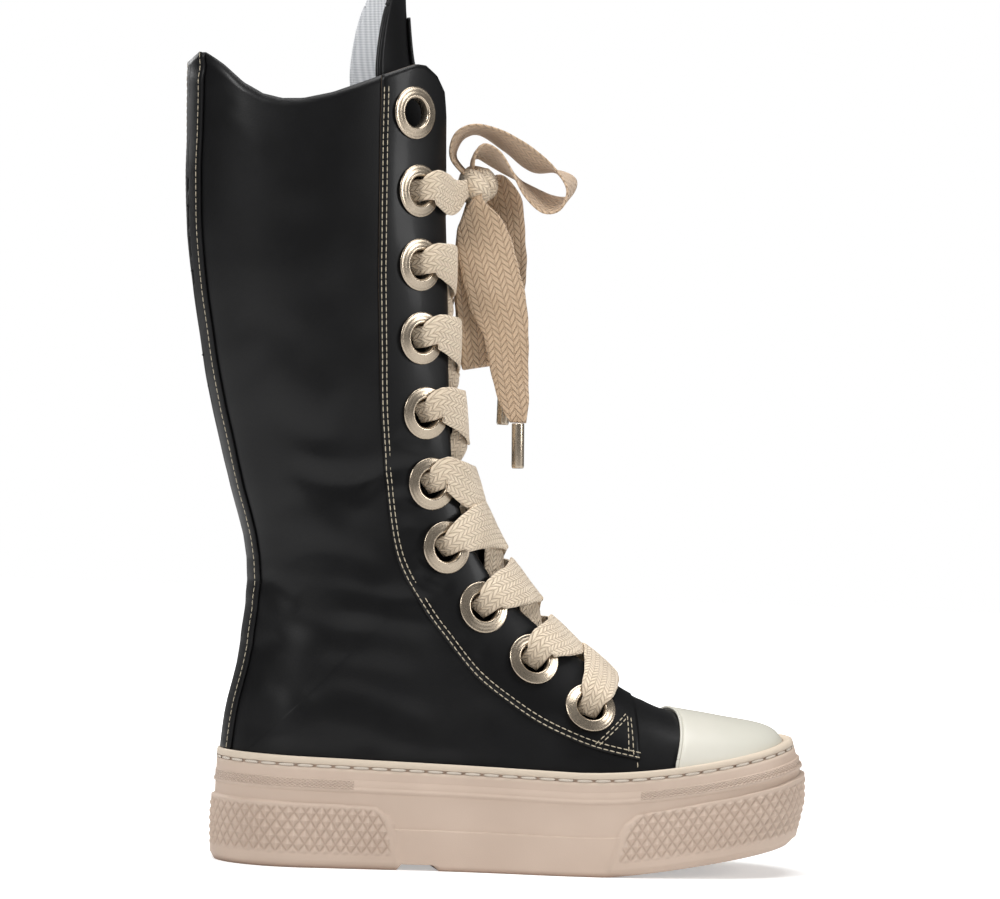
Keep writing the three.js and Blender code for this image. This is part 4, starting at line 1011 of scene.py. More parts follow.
# Creases of the leather in the side view: two ends, depth (a ridge where it is negative), half width.
CREASES = table("from_x from_z to_x to_z depth wide", [
    (-121, 197, -82, 193, 1.7, 6), (-86, 194, -58, 201, 0.9, 4), (-120, 206, -84, 203, -0.7, 7),
    (-124, 183, -96, 178, 0.9, 6), (-138, 245, -108, 228, -1.3, 14), (-133, 224, -104, 212, 0.8, 7),
    (-118, 158, -78, 149, 0.7, 6), (-95, 139, -47, 135, 0.9, 5), (-92, 129, -52, 124, -0.5, 6),
    (-122, 124, -84, 118, 0.6, 6), (-100, 89, -54, 75, 0.8, 7), (-104, 103, -62, 96, 0.5, 7),
    (-128, 96, -106, 80, 0.5, 6), (-175, 398, -150, 384, 1.0, 4), (-162, 372, -146, 352, -0.7, 7),
    (-160, 330, -118, 318, 0.6, 14), (-110, 288, -88, 262, 0.5, 10), (-150, 270, -126, 262, 0.5, 8),
    (-57, 148, -42, 141, 0.7, 3), (-58, 156, -46, 152, 0.5, 2.6), (-66, 171, -50, 168, 0.5, 3),
    (-70, 186, -56, 186, 0.6, 3), (-71, 216, -57, 213, 0.4, 3), (-36, 116, -22, 108, 0.5, 3.5),
    (8, 82, 34, 71, 0.5, 4), (20, 66, 48, 62, 0.4, 4), (-20, 82, 10, 66, 0.4, 7),
    (-132, 142, -118, 132, 0.9, 5), (-126, 112, -134, 104, 0.6, 5), (-135, 66, -128, 92, 0.4, 6),
])


def crease_depth(x, z, shift):
    """How far the leather is pressed in: for each crease, depth times a bell over the distance to it,
    fading to its ends, with a soft ridge beside the trough."""
    total = np.zeros_like(x)
    for ax, az, bx, bz, depth, wide in zip(*CREASES.values()):
        dx, dz = bx - ax, bz - az
        length = math.hypot(dx, dz)
        t = ((x - ax) * dx + (z - az - shift) * dz) / length ** 2
        bend = 0.08 * length * np.sin(np.pi * np.clip(t, 0, 1)) * np.sin(ax)
        away = ((x - ax) * dz - (z - az - shift) * dx) / length + bend
        ends = smooth((t + 0.25) / 0.4) * smooth((1.25 - t) / 0.4)
        trough, ridge = np.exp(-((away / wide) ** 2)), np.exp(-(((away - 2 * wide) / wide) ** 2))
        total += depth * ends * (trough - 0.35 * ridge)
    return total


def leather_relief(points):
    """The creases and a low unevenness of crossed sine waves, which die out at the collar and the rim."""
    x, y, z = points[..., 0], points[..., 1], points[..., 2]
    low = 0.35 * np.sin(x / 17 + z / 23 + y / 29) * np.sin(z / 31 - x / 41 + y / 43)
    low += 0.16 * np.sin(x / 7.1 - z / 9.3) * np.sin(z / 13 + x / 11 + y / 19)
    edge = smooth((collar_height(x) - z) / 9) * smooth((z - rim_top(x) - 1) / 9)
    return -(crease_depth(x, z, 4 * smooth(y / 60 + 0.5)) + low) * edge


ROWS, HALF_COLUMNS = 236, 78


def upper_half(side):
    """One half of the upper as a grid: u runs up to the collar's cut, s from the throat's edge down."""
    b = np.linspace(0, 1, HALF_COLUMNS)

    def down(u):
        edge = throat_edge(u, side)
        return edge + b * (1 - edge)

    a = np.linspace(0, 1, ROWS)
    spread = 0.6 * a + 0.4 * np.interp(a, [0, 0.12, 0.3, 1], [0, 0.05, 0.22, 1])
    u = spread[:, None] * collar_cut(down, side, b.shape)[None, :]
    s = down(u)
    points = surface(u, s, side)
    return points + normal_at(u, s, side) * leather_relief(points)[..., None]


def in_eyelet(middles, side, radius):
    """Which places lie inside an eyelet's hole."""
    inside = np.zeros(len(middles), bool)
    for seat in SEATS[side]:
        away = middles - seat["face"]
        flat = away - (away @ seat["normal"])[:, None] * seat["normal"]
        inside |= (np.linalg.norm(flat, axis=1) < radius) & (np.abs(away @ seat["normal"]) < HOLE_REACH)
    return inside


def cut_faces(points, faces, side):
    """The faces that no eyelet's hole takes away."""
    middles = points[faces].mean(axis=1)
    return faces[~in_eyelet(middles, side, EYELET_HOLE + HOLE_CLEARANCE)]


halves = []
for side in (-1, 1):
    flat = upper_half(side).reshape(-1, 3)
    halves.append((flat, cut_faces(flat, grid_faces(ROWS, HALF_COLUMNS), side)))
start = len(halves[0][0])
all_points = np.concatenate([h[0] for h in halves])
all_faces = np.concatenate([halves[0][1][:, ::-1], halves[1][1] + start])
upper_mesh = mesh_of("upper", all_points, all_faces, merge=0.02)
upper = finish_piece("upper_leather", upper_mesh, LEATHER, ["upper"])


def facing_back(side):
    """The facing's sewn rear edge as a share of the section, for each u."""
    x = side_x(FACING_LINE["along"])
    z = side_z(FACING_LINE["up"])
    fine = np.linspace(0, len(x) - 1, 160)
    u, s = side_to_surface(between(x, fine), between(z, fine), side)
    order = np.argsort(u)
    return u[order], s[order]


FACING = {side: facing_back(side) for side in (-1, 1)}
FACING_END_X = side_x(FACING_LINE["along"][-1])
FACING_ROWS, FACING_COLUMNS = 250, 26


def facing_half(side):
    """One facing: a raised layer from the throat's edge back to its sewn edge, over the creased leather."""
    u_line, s_line = FACING[side]
    w = np.linspace(0, 1, FACING_COLUMNS)

    def down(u):
        edge = throat_edge(u, side)
        return edge + w * (np.interp(u, u_line, s_line) - edge)

    def ahead_of(u):
        return FACING_END_X - surface(u, down(u), side)[..., 0]

    top = collar_cut(down, side, w.shape)
    bottom = solve(ahead_of, np.full(w.shape, FACING_FROM), np.full(w.shape, FACING_TO))
    a = np.linspace(0, 1, FACING_ROWS)[:, None]
    u = bottom[None, :] + a * (top - bottom)[None, :]
    s = down(u)
    points = surface(u, s, side)
    roll = 1 - np.exp(-np.minimum(np.minimum(w, 1 - w)[None, :] * FACING_COLUMNS, 8) / FACING_ROLL)
    lift = leather_relief(points) + FACING_PROUD * (0.45 + 0.55 * roll)
    return points + normal_at(u, s, side) * lift[..., None]


for side, name in ((-1, "outer"), (1, "inner")):
    points = facing_half(side).reshape(-1, 3)
    faces = cut_faces(points, grid_faces(FACING_ROWS, FACING_COLUMNS), side)
    faces = faces if side > 0 else faces[:, ::-1]
    facing = finish_piece(f"facing_{name}", mesh_of(name, points, faces), LEATHER)
    facing.data.materials.append(EDGE_LEATHER)
    solidify(facing, FACING_PROUD - 0.15).material_offset_rim = 1

solidify(upper, WALL, even=False)

# Eyelets

EYELET_PROFILE = table("radius out", [
    (7.4, -3.7), (7.3, 0.2), (7.35, 0.95), (7.6, 1.6), (8.1, 1.98), (8.7, 1.95), (9.2, 1.68),
    (10.2, 1.52), (11.2, 1.3), (12.0, 1.02), (12.5, 1.05), (12.95, 0.88), (13.2, 0.55), (13.1, 0.32),
    (8.3, 0.3), (8.3, -3.7),
])


def eyelets_mesh():
    """All the eyelets: one profile turned about each seat's normal, closed both ways round."""
    r, out = EYELET_PROFILE["radius"], EYELET_PROFILE["out"]
    a = np.linspace(0, 2 * np.pi, 57)
    points, faces = [], []
    for seat in SEATS[-1] + SEATS[1]:
        side = np.cross(seat["normal"], seat["front"])
        ring = np.cos(a)[:, None] * seat["front"] + np.sin(a)[:, None] * side
        place = seat["face"] + ring[:, None] * r[None, :, None] + seat["normal"] * out[None, :, None]
        faces.append(grid_faces(len(a), len(r), True, len(points) * len(a) * len(r)))
        points.append(place.reshape(-1, 3))
    return mesh_of("eyelets", np.concatenate(points), np.concatenate(faces), merge=0.001)


names = [f"eyelet_{side}_{i}" for side in ("outer", "inner") for i in range(1, 11)]
outward(finish_piece("eyelet_rings", eyelets_mesh(), PLATING, names))

# Toe cap

CAP_EDGE = table("along up", [(0.769, -0.02), (0.776, 0.03), (0.786, 0.06), (0.806, 0.13)])
CAP_THICKNESS = 1.8
CAP_ROWS, CAP_COLUMNS = 70, 121


def cap_edge_x(z):
    """The toe cap's back edge in the side view: x for a height."""
    return np.interp(z, side_z(CAP_EDGE["up"]), side_x(CAP_EDGE["along"]))


def rim_share(u, side):
    """How far down each section the surface meets the rim's top."""
    shares = np.linspace(0, 1, 600)
    p = surface(u[:, None], shares[None, :], side)
    below = p[..., 2] < rim_top(p[..., 0]) - 1.2
    return np.where(below.any(axis=1), shares[np.argmax(below, axis=1)], 1.0)


CAP_U = np.linspace(0.2, 4.5, 300)
CAP_RIM = {side: soften(rim_share(CAP_U, side), 2) for side in (-1, 1)}
CAP_START = float(CAP_U[np.argmax(CAP_RIM[-1] > 0.01)])


def cap_grid(rows, columns, lift):
    """The cap from its tip back to its edge line: u along, and a share of the way down to the rim across.
    lift gives the height over the leather."""
    b = np.linspace(-1, 1, columns)
    side = np.where(b < 0, -1.0, 1.0)

    def share(u):
        down = np.where(side < 0, np.interp(u, CAP_U, CAP_RIM[-1]), np.interp(u, CAP_U, CAP_RIM[1]))
        return np.abs(b) * down

    def behind(u):
        p = surface(u, share(u), side)
        return cap_edge_x(p[..., 2]) - p[..., 0]

    end = solve(behind, np.full(b.shape, CAP_START), np.full(b.shape, 4.4))
    a = np.linspace(0, 1, rows)[:, None]
    u = CAP_START + (end - CAP_START)[None, :] * a ** 1.5
    s = share(u)
    thick = lift(a, b[None, :])
    return off_surface(u, s, side + 0 * u, thick)


def cap_lift(a, b):
    """The cap's outer face: its thickness, rolled off at the back edge."""
    back = 1 - np.exp(-(1 - a) * CAP_ROWS / CAP_ROLL)
    return FIT + CAP_THICKNESS * (0.35 + 0.65 * back) + 0 * b


cap_points = cap_grid(CAP_ROWS, CAP_COLUMNS, cap_lift).reshape(-1, 3)
cap_mesh = mesh_of("cap", cap_points, grid_faces(CAP_ROWS, CAP_COLUMNS), merge=0.01)
cap = finish_piece("toe_cap_rubber", cap_mesh, CAP_RUBBER, ["toe_cap"])
solidify(cap, CAP_THICKNESS * 0.8, even=False)


def tube_mesh(name, path, radius):
    """A round cord along a path: circles square to it, with the ends closed."""
    along = unit(np.gradient(path, axis=0))
    guide = np.where(np.abs(along[:, 2:3]) > 0.9, np.array([[1.0, 0, 0]]), np.array([[0, 0, 1.0]]))
    first = unit(np.cross(along, guide))
    second = np.cross(along, first)
    sides = 10
    a = np.linspace(0, 2 * np.pi, sides, endpoint=False)
    ring = np.cos(a)[None, :, None] * first[:, None] + np.sin(a)[None, :, None] * second[:, None]
    return mesh_of(name, (path[:, None] + ring * radius).reshape(-1, 3), tube_faces(len(path), sides))


BEAD_LIFT, BEAD_RADIUS = 0.9, 0.75
bead_path = cap_grid(3, CAP_COLUMNS, lambda a, b: FIT + BEAD_LIFT + 0 * a + 0 * b)[-1]
bead_mesh = tube_mesh("bead", bead_path, BEAD_RADIUS)
outward(finish_piece("toe_cap_bead", bead_mesh, CAP_RUBBER))

# Back strip

STRIP_THICKNESS = 1.4


def strip_share(u, side, half):
    """How far down each section the strip's edge lies, half mm from the strip's middle line."""
    shares = np.linspace(0.45, 1, 700)
    p = surface(u[:, None], shares[None, :], side)
    centre = -np.sin(twist(p[..., 2])) * TWIST_ARM
    outside = np.abs(p[..., 1] - centre) >= half
    last = outside.shape[1] - 1 - np.argmax(outside[:, ::-1], axis=1)
    return np.where(outside.any(axis=1), shares[last], 1.0)


STRIP_U = np.linspace(7.9, LAST_SECTION, 500)
STRIP = {side: soften(strip_share(STRIP_U, side, STAY_WIDTH / 2), 4) for side in (-1, 1)}


def strip_place(across, rows, lift):
    """Lines up the back strip: across runs from its outer edge (-1) to its inner one (1)."""
    side = np.where(across < 0, -1.0, 1.0)

    def share(u):
        edge = np.where(side < 0, np.interp(u, STRIP_U, STRIP[-1]), np.interp(u, STRIP_U, STRIP[1]))
        return 1 - (1 - edge) * np.abs(across)

    def over_rim(u):
        p = surface(u, share(u), side)
        return p[..., 2] - rim_top(p[..., 0]) - FIT

    low = solve(over_rim, np.full(across.shape, STRIP_FROM), np.full(across.shape, STRIP_TO))
    high = collar_cut(share, side, across.shape)
    u = low[None, :] + np.linspace(0, 1, rows)[:, None] * (high - low)[None, :]
    s = share(u)
    points = surface(u, s, side)
    normals = normal_at(u, np.minimum(s, 0.9999), side)
    return points + normals * (leather_relief(points) + lift)[..., None], normals


STRIP_ROWS, STRIP_COLUMNS = 260, 33
across = np.linspace(-1, 1, STRIP_COLUMNS)
roll = 1 - np.exp(-(1 - np.abs(across)) * STAY_WIDTH / 2 / STRIP_ROLL)
strip_points, _ = strip_place(across, STRIP_ROWS, FIT + STRIP_THICKNESS * (0.3 + 0.7 * roll))
strip_faces = grid_faces(STRIP_ROWS, STRIP_COLUMNS)[:, ::-1]
strip_mesh = mesh_of("strip", strip_points.reshape(-1, 3), strip_faces, merge=0.005)
strip = finish_piece("back_strip", strip_mesh, LEATHER, ["back_stay"])
solidify(strip, STRIP_THICKNESS * 0.8, even=False)

# Tongue

TONGUE = table("station wing below set_back", [
    (3, 0.3, 0.6, 0), (3.5, 0.33, 0.6, 0), (3.75, 0.35, 4.8, 0), (4, 0.36, 6, 0), (5, 0.36, 6, 0),
    (6, 0.33, 6, 0), (7, 0.31, 6, 0), (8.5, 0.31, 6, 0), (10, 0.31, 6, 2), (11, 0.32, 3.8, 5),
    (12, 0.33, 3.8, 8), (13, 0.34, 3.8, 6), (14, 0.34, 3.8, 4), (14.6, 0.33, 3.8, 10),
    (15, 0.31, 3.8, 16), (15.4, 0.26, 3.8, 19), (15.65, 0.19, 3.8, 20), (15.8, 0.09, 3.8, 20.5),
])
TONGUE_ROWS = len(TONGUE["station"]) - 1


def tongue_place(row, across, depth):
    """A point of the tongue: a share of its wing across, depth mm in from its front face."""
    station, wing, below, set_back = (between(column, row) for column in TONGUE.values())
    side = np.where(across < 0, -1.0, 1.0)
    narrow = 1 - 0.13 * (across > 0) * np.abs(across) ** 3 * smooth((row - 9) / 3)
    p = off_surface(station, np.abs(across) * wing * narrow, side, -WALL - below - depth)
    p[..., 0] -= set_back
    return p


def tongue_sheet(name, ends, width, depth, grid, thickness, finish, slot, replaced=()):
    """A layer of the tongue between two rows of its table, a share of its width wide and depth mm in."""
    lines = np.linspace(*ends, grid[0]), np.linspace(-width, width, grid[1])
    row, across = np.meshgrid(*lines, indexing="ij")
    points = tongue_place(row, across, depth + 0 * row).reshape(-1, 3)
    mesh = mesh_of(name, points, grid_faces(*grid), merge=0.005)
    solidify(finish_piece(name, mesh, finish, replaced), thickness, even=False)


tongue_sheet("tongue_leather", (0, TONGUE_ROWS), 1, 0, (150, 45), 1.5, LEATHER, "leather", ["tongue"])
tongue_sheet("tongue_lining", (0.3, TONGUE_ROWS - 0.1), 0.97, 1.7, (120, 41), 1.2, LINING, "lining")
patch = {"depth": -FIT - 1.6, "grid": (16, 19), "thickness": 1.5, "replaced": ["tongue_patch"]}
tongue_sheet("tongue_front_patch", (14, 15), 0.4, finish=LEATHER, slot="leather", **patch)
PIPING_RADIUS = 1.3
edge_row = np.linspace(8.5, TONGUE_ROWS, 120)
for name, side, finish, slot in (("near", -1.0, LEATHER, "leather"), ("far", 1.0, LINING, "lining")):
    piping_path = tongue_place(edge_row, side + 0 * edge_row, 1.5 + 0 * edge_row)
    piping = tube_mesh(name, piping_path, PIPING_RADIUS)
    outward(finish_piece(f"tongue_piping_{name}", piping, finish))

# Sole

SOLE_STEPS = table("share proud bumper", [
    (0, -0.6, 0.55), (0.02, 0.1, 0.7), (0.045, 0.3, 0.8), (0.375, 0.9, 1.45), (0.382, 0.2, 1.4),
    (0.7, 0.2, 1.4), (0.708, 1.0, 1.45), (0.735, 0.9, 1.4), (0.742, 0.4, 1.3), (0.8, 0.4, 1.2),
    (0.81, 0, 1.0), (0.905, 0, 0.7),
    (0.913, -0.9, 0.6), (0.932, -0.9, 0.6), (0.94, 0, 0.6), (0.985, -0.05, 0.4), (1, -0.5, 0.2),
])
GUARD_STEPS = table("share proud bumper", [
    (0.02, -0.4, 0.6), (0.06, 1.5, 1.0), (0.375, 2.2, 1.6), (0.6, 1.9, 1.6), (0.7, 1.7, 1.6),
])
# The guards' edges: x for each share of the sole's height, and the shares at which they end above.
HEEL_GUARD = table("share x", [
    (0.03, -62), (0.42, -66), (0.5, -69), (0.57, -75), (0.585, -112), (0.6, -190),
])
TOE_GUARD = table("share x", [
    (0.03, 42), (0.4, 47), (0.5, 50), (0.58, 56), (0.62, 90), (0.63, 130), (0.65, 190),
])
HEEL_GUARD_TOP, TOE_GUARD_TOP = 0.592, 0.655
HEEL_PYRAMIDS_TOP, TOE_PYRAMIDS_TOP, PYRAMIDS_LOW = 0.56, 0.6, 0.12
PYRAMID_MARGIN = 2.5
PYRAMID_SINK = 0.75
ARCH_GAP = (-63, -42)
ARCH_GAP_RISE = 3
SLOT_HALF = 2.1
SLOT_DEPTH = 3.0
SLOT_EDGE = 9
FLOOR_COLUMNS = 21
TREAD_SLOTS = (-134, -122, -110, -98, -86, -74, -30, -16, 16, 30, 44, 58, 72, 86, 100, 114, 128)
RING_HALF = 390
RING_TURNS = table("share angle", [(0, 0), (0.44, 1.151), (0.52, 1.89), (1, math.pi)])
base_u = np.linspace(0, HEEL_SECTION, 1200)
base_x_of_u = side_x(between(SECTIONS["base_along"], base_u))


def sole_edge():
    """The upper's edge at its base: outer points from heel to toe, then inner ones back again."""
    k = np.arange(RING_HALF + 1)
    turned = np.interp(k / RING_HALF, RING_TURNS["share"], RING_TURNS["angle"])
    x = (UPPER_BACK + UPPER_TIP) / 2 - (UPPER_TIP - UPPER_BACK) / 2 * np.cos(turned)
    u = np.interp(-x, -base_x_of_u, base_u)
    v = np.full(x.shape, 0.99)
    halves = [side * half_width(u, v, x, cup_floor(x), side + 0 * x) for side in (-1, 1)]
    outer, inner = (np.stack([x, sway(x) + half], -1) for half in halves)
    return np.concatenate([outer, inner[1:-1][::-1]])


EDGE = sole_edge()
edge_step = unit(np.roll(EDGE, -1, axis=0) - np.roll(EDGE, 1, axis=0))
EDGE_OUT = np.stack([edge_step[:, 1], -edge_step[:, 0]], -1)
EDGE_TRAVEL = travelled(EDGE)


def edge_at(offset, bumper):
    """The edge line moved outwards, further in front of the toe."""
    grow = offset + bumper * TOE_BUMPER * smooth((EDGE[:, 0] - BUMPER_FROM) / BUMPER_FROM)
    return EDGE + EDGE_OUT * grow[..., None]


def sole_sides():
    """The sole's side from the tread up to the rim: the steps' profile, with the two guards laid over it
    and pyramids on them, whose height is the lesser of two crossed triangle waves."""
    share = np.concatenate([np.linspace(0, 1, 17), np.linspace(0.08, 0.64, 54), SOLE_STEPS["share"]])
    share = np.unique(np.concatenate([share, [0.37, 0.378, 0.388, 0.586, 0.6, 0.615, 0.63, 0.645]]))
    x = EDGE[:, 0][None, :]
    h = share[:, None]
    in_heel = np.interp(h, HEEL_GUARD["share"], HEEL_GUARD["x"]) - x
    in_toe = x - np.interp(h, TOE_GUARD["share"], TOE_GUARD["x"])
    heel = smooth(in_heel / 1.6 + 0.5) * smooth((HEEL_GUARD_TOP - h) / 0.012)
    toe = smooth(in_toe / 1.6 + 0.5) * smooth((TOE_GUARD_TOP - h) / 0.012)
    on = np.maximum(heel, toe) * (h > 0.025)

    def profile(column):
        plain = np.interp(h, SOLE_STEPS["share"], SOLE_STEPS[column]) * (1 - on)
        return plain + np.interp(h, GUARD_STEPS["share"], GUARD_STEPS[column]) * on

    heel = smooth((in_heel - PYRAMID_MARGIN) / 2) * smooth((HEEL_PYRAMIDS_TOP - h) / 0.03)
    toe = smooth((in_toe - PYRAMID_MARGIN) / 2) * smooth((TOE_PYRAMIDS_TOP - h) / 0.03)
    patterned = np.maximum(heel, toe) * smooth((h - PYRAMIDS_LOW) / 0.05)
    across, up = EDGE_TRAVEL[None, :] / PYRAMID_WIDTH, h * BALL_RISE / PYRAMID_HEIGHT
    first, second = np.abs((across + up) % 1 - 0.5) * 2, np.abs((across - up) % 1 - 0.5) * 2
    rise = patterned * (PYRAMID_RISE * np.minimum(first, second) - PYRAMID_SINK)
    ring = edge_at(RIM_WALL + profile("proud") + rise, profile("bumper"))
    low, high = tread_level(ring[..., 0]), rim_top(ring[..., 0])
    z = low + h * (high - low)
    gap = smooth((ring[..., 0] - ARCH_GAP[0]) / 1.2) * smooth((ARCH_GAP[1] - ring[..., 0]) / 1.2)
    z = np.maximum(z, low + ARCH_GAP_RISE * gap * (h < 0.07))
    return np.concatenate([ring, z[..., None]], -1), share, patterned


def sole_mesh():
    """The sole as one closed skin: its side, then in over the rim, down the cup's wall and over its floor,
    and underneath the tread with blind slots."""
    sides, share, patterned = sole_sides()
    rings = [sides]
    for offset, drop in [(RIM_WALL - 1.4, 0.0), (1.4, 0.1), (0.75, 0.5), (0.65, 3.0), (0.65, CUP_DEPTH)]:
        ring = edge_at(offset, 0.2 if offset > 1 else 0.0)
        rings.append(np.concatenate([ring, (rim_top(ring[:, 0]) - drop)[:, None]], -1)[None])
    whole = np.concatenate(rings)
    rows, count = whole.shape[:2]
    height = np.append(share, np.ones(rows - len(share))) * BALL_RISE
    travel = np.append(EDGE_TRAVEL, EDGE_TRAVEL[-1] + 0.5)
    lengths = np.stack(np.broadcast_arrays(travel[None, :], height[:, None]), -1)
    closed = np.concatenate([whole, whole[:, :1]], axis=1)
    points, faces, maps = [closed.reshape(-1, 3)], [grid_faces(rows, count + 1)], [lengths.reshape(-1, 2)]
    masks = np.zeros((rows, count + 1))
    masks[:len(share), :count] = patterned
    masks[:, count] = masks[:, 0]
    start = rows * (count + 1)
    for ring, is_floor in ((whole[-1], True), (whole[0], False)):
        outer = ring[:RING_HALF + 1]
        inner = np.concatenate([ring[:1], ring[RING_HALF + 1:][::-1], ring[RING_HALF:RING_HALF + 1]])
        w = np.linspace(0, 1, FLOOR_COLUMNS)[None, :, None]
        flat = outer[:, None] * (1 - w) + inner[:, None] * w
        if not is_floor:
            x = flat[..., 0]
            slots = np.abs(x[..., None] - np.array(TREAD_SLOTS)).min(-1) < SLOT_HALF
            wide = np.linalg.norm(outer - inner, axis=1)[:, None]
            clear = np.minimum(w[..., 0], 1 - w[..., 0]) * wide
            flat[..., 2] += np.where(slots & (clear > SLOT_EDGE), SLOT_DEPTH, 0.0)
        order = grid_faces(RING_HALF + 1, FLOOR_COLUMNS, start=start)
        faces.append(order if is_floor else order[:, ::-1])
        points.append(flat.reshape(-1, 3))
        maps.append(np.zeros((flat.shape[0] * FLOOR_COLUMNS, 2)))
        start += len(maps[-1])
    skin, quads = np.concatenate(points), np.concatenate(faces)
    mask = np.concatenate([masks.ravel(), np.zeros(len(skin) - masks.size)])
    return mesh_of("sole", skin, quads, np.concatenate(maps), merge=0.01, pyramids=mask)


outward(finish_piece("sole_unit", sole_mesh(), SOLE_RUBBER, ["outsole"]))
for material_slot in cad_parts["insole"].material_slots:
    material_slot.material = LINING

# Stitches


def stitches_mesh(name, runs, length, gap, radius):
    """Stitches along runs of points and normals: each an ellipsoid length long, flattened to the leather.

    A stitch's point is its middle + along * length / 2 * cos(lat)
    + (side * cos(lon) + normal * 0.8 sin(lon)) * radius * sin(lat) to the power of 0.6."""
    lat = np.linspace(0, np.pi, 6)[:, None]
    lon = np.linspace(0, 2 * np.pi, 8, endpoint=False)[None, :]
    thin = np.sin(lat) ** 0.6 * radius
    reaches = np.cos(lat) * length / 2 + 0 * lon, thin * np.cos(lon), thin * np.sin(lon) * 0.8
    points, faces, count = [], [], 0
    for path, normals in runs:
        travel = travelled(path)
        number = int(travel[-1] / (length + gap))
        at = (np.arange(number) + 0.5) * travel[-1] / number

        def place(values, t):
            return np.stack([np.interp(t, travel, values[:, k]) for k in range(3)], -1)

        along = unit(place(path, at + length / 2) - place(path, at - length / 2))
        normal = place(normals, at)
        body = place(path, at)[:, None, None]
        for direction, reach in zip((along, unit(np.cross(along, normal)), normal), reaches):
            body = body + direction[:, None, None] * reach[None, ..., None]
        stitch = np.arange(number)[:, None, None] * len(lat) * lon.size + count
        faces.append((grid_faces(len(lat), lon.size, True)[None] + stitch).reshape(-1, 4))
        points.append(body.reshape(-1, 3))
        count += len(points[-1])
    return mesh_of(name, np.concatenate(points), np.concatenate(faces), merge=0.0005)


def on_leather(u, s, side, ahead_mm, lift):
    """A run on the leather, moved ahead_mm towards the throat along the section."""
    place = surface(u, s, side)
    front = unit(surface(u, s - 0.01, side) - place)
    normal = normal_at(u, s, side)
    path = place + front * ahead_mm
    return path + normal * (leather_relief(place) + lift)[:, None], normal


def side_run(points, side, lift):
    """A run through points of the side view."""
    points = np.array(points, float)
    row = np.linspace(0, len(points) - 1, 60 * (len(points) - 1))
    x, z = (np.interp(row, np.arange(len(points)), points[:, k]) for k in (0, 1))
    u, s = side_to_surface(x, z, side)
    return on_leather(u, s, side, 0, lift)


# The double seams of the triangle at the facing's front end, in the side view.
TOE_SEAMS = (
    [(33.6, 65.8), (50.8, 80.8)],
    [(35.7, 65.4), (50.6, 78.5)],
    [(51.2, 79.8), (51.1, 62.4)],
    [(53.0, 79.1), (53.6, 60.9)],
)
# The two short seams from there down to the rim.
RIM_SEAMS = (
    [(53.3, 57.6), (53.8, 54.6)],
    [(55.8, 58.6), (56.0, 54.6)],
)
# The stitched groove of the rim: its share of the sole's height; its stitches' length, gap and radius.
GROOVE_SHARE = 0.9225
SOLE_STITCH = (8.2, 1.1, 0.75)
runs = []
for side in (-1, 1):
    u, s = FACING[side]
    places = surface(u, s, side)
    kept = places[:, 2] < collar_height(places[:, 0]) - 1.5
    for ahead_mm in (1.3, 3.8):
        runs.append(on_leather(u[kept], s[kept], side, ahead_mm, FACING_PROUD - 0.02))
    for line in TOE_SEAMS:
        runs.append(side_run(line, side, FACING_PROUD - 0.02))
    for line in RIM_SEAMS:
        runs.append(side_run(line, side, 0.05))
for across in (-0.77, 0.77):
    path, normal = strip_place(np.array([across]), 200, FIT + STRIP_THICKNESS - 0.02)
    runs.append((path[:, 0], normal[:, 0]))
seams_mesh = stitches_mesh("seams", runs, STITCH_LENGTH, STITCH_GAP, STITCH_RADIUS)
outward(finish_piece("upper_stitches", seams_mesh, THREAD))
groove = edge_at(RIM_WALL - 0.35, 0.6)
groove = np.concatenate([groove, groove[:1]])
groove_low, groove_high = tread_level(groove[:, 0]), rim_top(groove[:, 0])
groove_z = groove_low + GROOVE_SHARE * (groove_high - groove_low)
groove_path = np.concatenate([groove, groove_z[:, None]], -1)
groove_out = np.concatenate([np.concatenate([EDGE_OUT, EDGE_OUT[:1]]), np.zeros((len(groove), 1))], -1)
welt_mesh = stitches_mesh("welt", [(groove_path, groove_out)], *SOLE_STITCH)
outward(finish_piece("sole_stitches", welt_mesh, SOLE_THREAD))

# Lights and floor

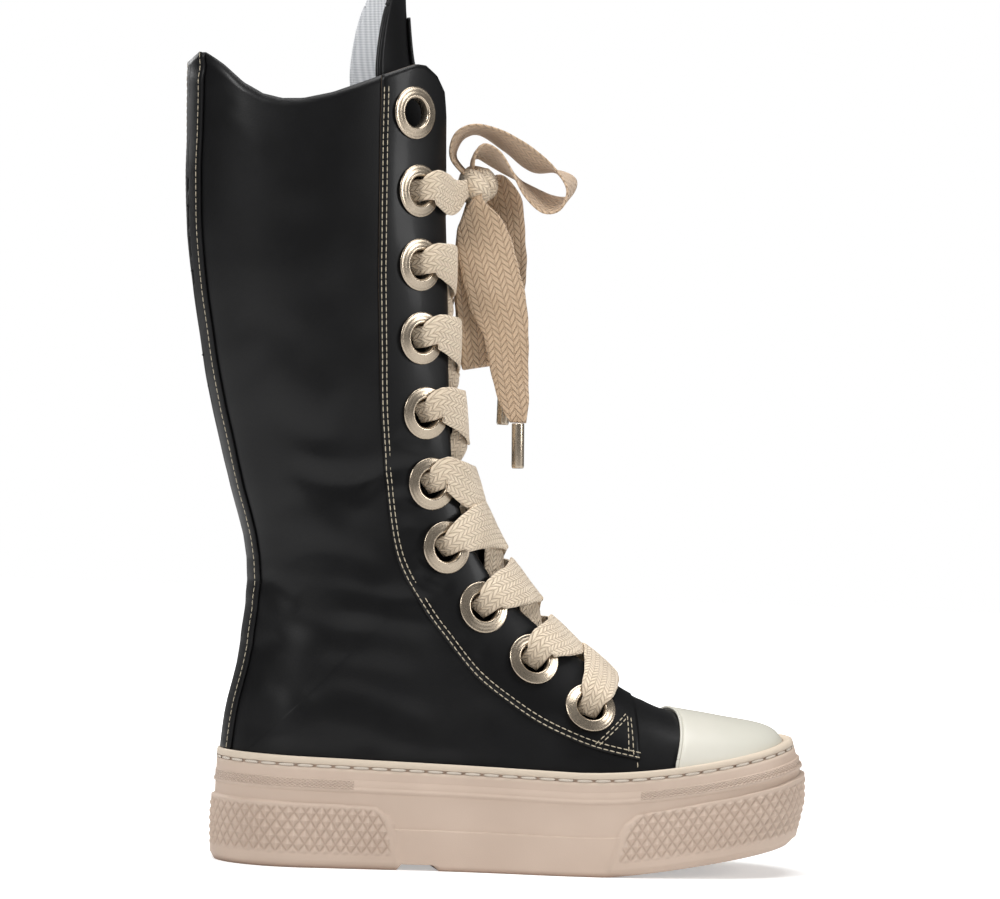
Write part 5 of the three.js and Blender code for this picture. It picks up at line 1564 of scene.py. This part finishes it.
# Each light's name, place, aim, size in metres and watts.
LIGHTS = (
    ("key", (-1.3, -1.2, 1.3), (0, 0, 0.2), (0.5, 0.8), 20),
    ("fill", (1.7, -1.0, 0.8), (0, 0, 0.12), (0.5, 0.9), 13),
    ("over", (0.1, -0.1, 1.8), (0, 0, 0.1), (1.2, 1.2), 28),
    ("back", (-0.9, 1.4, 1.0), (0, 0, 0.2), (0.8, 0.9), 12),
)
FLOOR_HALF = 4000
for name, place, aim, size, watts in LIGHTS:
    data = bpy.data.lights.new(name, "AREA")
    data.shape = "RECTANGLE"
    data.size, data.size_y = size
    data.energy = watts
    light = bpy.data.objects.new(name, data)
    bpy.context.scene.collection.objects.link(light)
    light.location = place
    light.rotation_euler = (Vector(aim) - Vector(place)).to_track_quat("-Z", "Y").to_euler()

corners = np.array([(-1, -1, 0), (1, -1, 0), (1, 1, 0), (-1, 1, 0)], float) * FLOOR_HALF
floor_mesh = mesh_of("floor", corners, [[0, 1, 2, 3]])
floor = bpy.data.objects.new("floor", floor_mesh)
bpy.context.scene.collection.objects.link(floor)
floor_white = Finish("floor_white", Base_Color=(0.85, 0.85, 0.85), Roughness=0.7, Emission_Strength=1.0)
# Painted light: the floor glows for camera rays, dimmer near the shoe as painted shade round it.
away = floor_white.node("ShaderNodeVectorMath", {"operation": "LENGTH"}, {0: floor_white.place()}, 1)
glow = floor_white.mix(away.step(60, 900), (0.4, 0.4, 0.4), (1.0, 1.0, 1.0))
straight = floor_white.node("ShaderNodeLightPath", None, None, "Is Camera Ray")
floor_white.feed("Emission Color", floor_white.mix(straight, (0.06, 0.06, 0.06), glow))
floor.data.materials.append(floor_white.material)
world = bpy.data.worlds.new("studio")
world.use_nodes = True
sky = world.node_tree.nodes
sky["Background"].inputs["Strength"].default_value = WORLD_GLOW
sky["Background"].inputs["Color"].default_value = (1, 1, 1, 1)
plain = sky.new("ShaderNodeBackground")
plain.inputs["Strength"].default_value = 1.0
plain.inputs["Color"].default_value = (1, 1, 1, 1)
seen, ray = sky.new("ShaderNodeMixShader"), sky.new("ShaderNodeLightPath")
world.node_tree.links.new(ray.outputs["Is Camera Ray"], seen.inputs[0])
world.node_tree.links.new(sky["Background"].outputs[0], seen.inputs[1])
world.node_tree.links.new(plain.outputs[0], seen.inputs[2])
world.node_tree.links.new(seen.outputs[0], sky["World Output"].inputs[0])
bpy.context.scene.view_settings.view_transform = "Standard"
bpy.context.scene.world = world
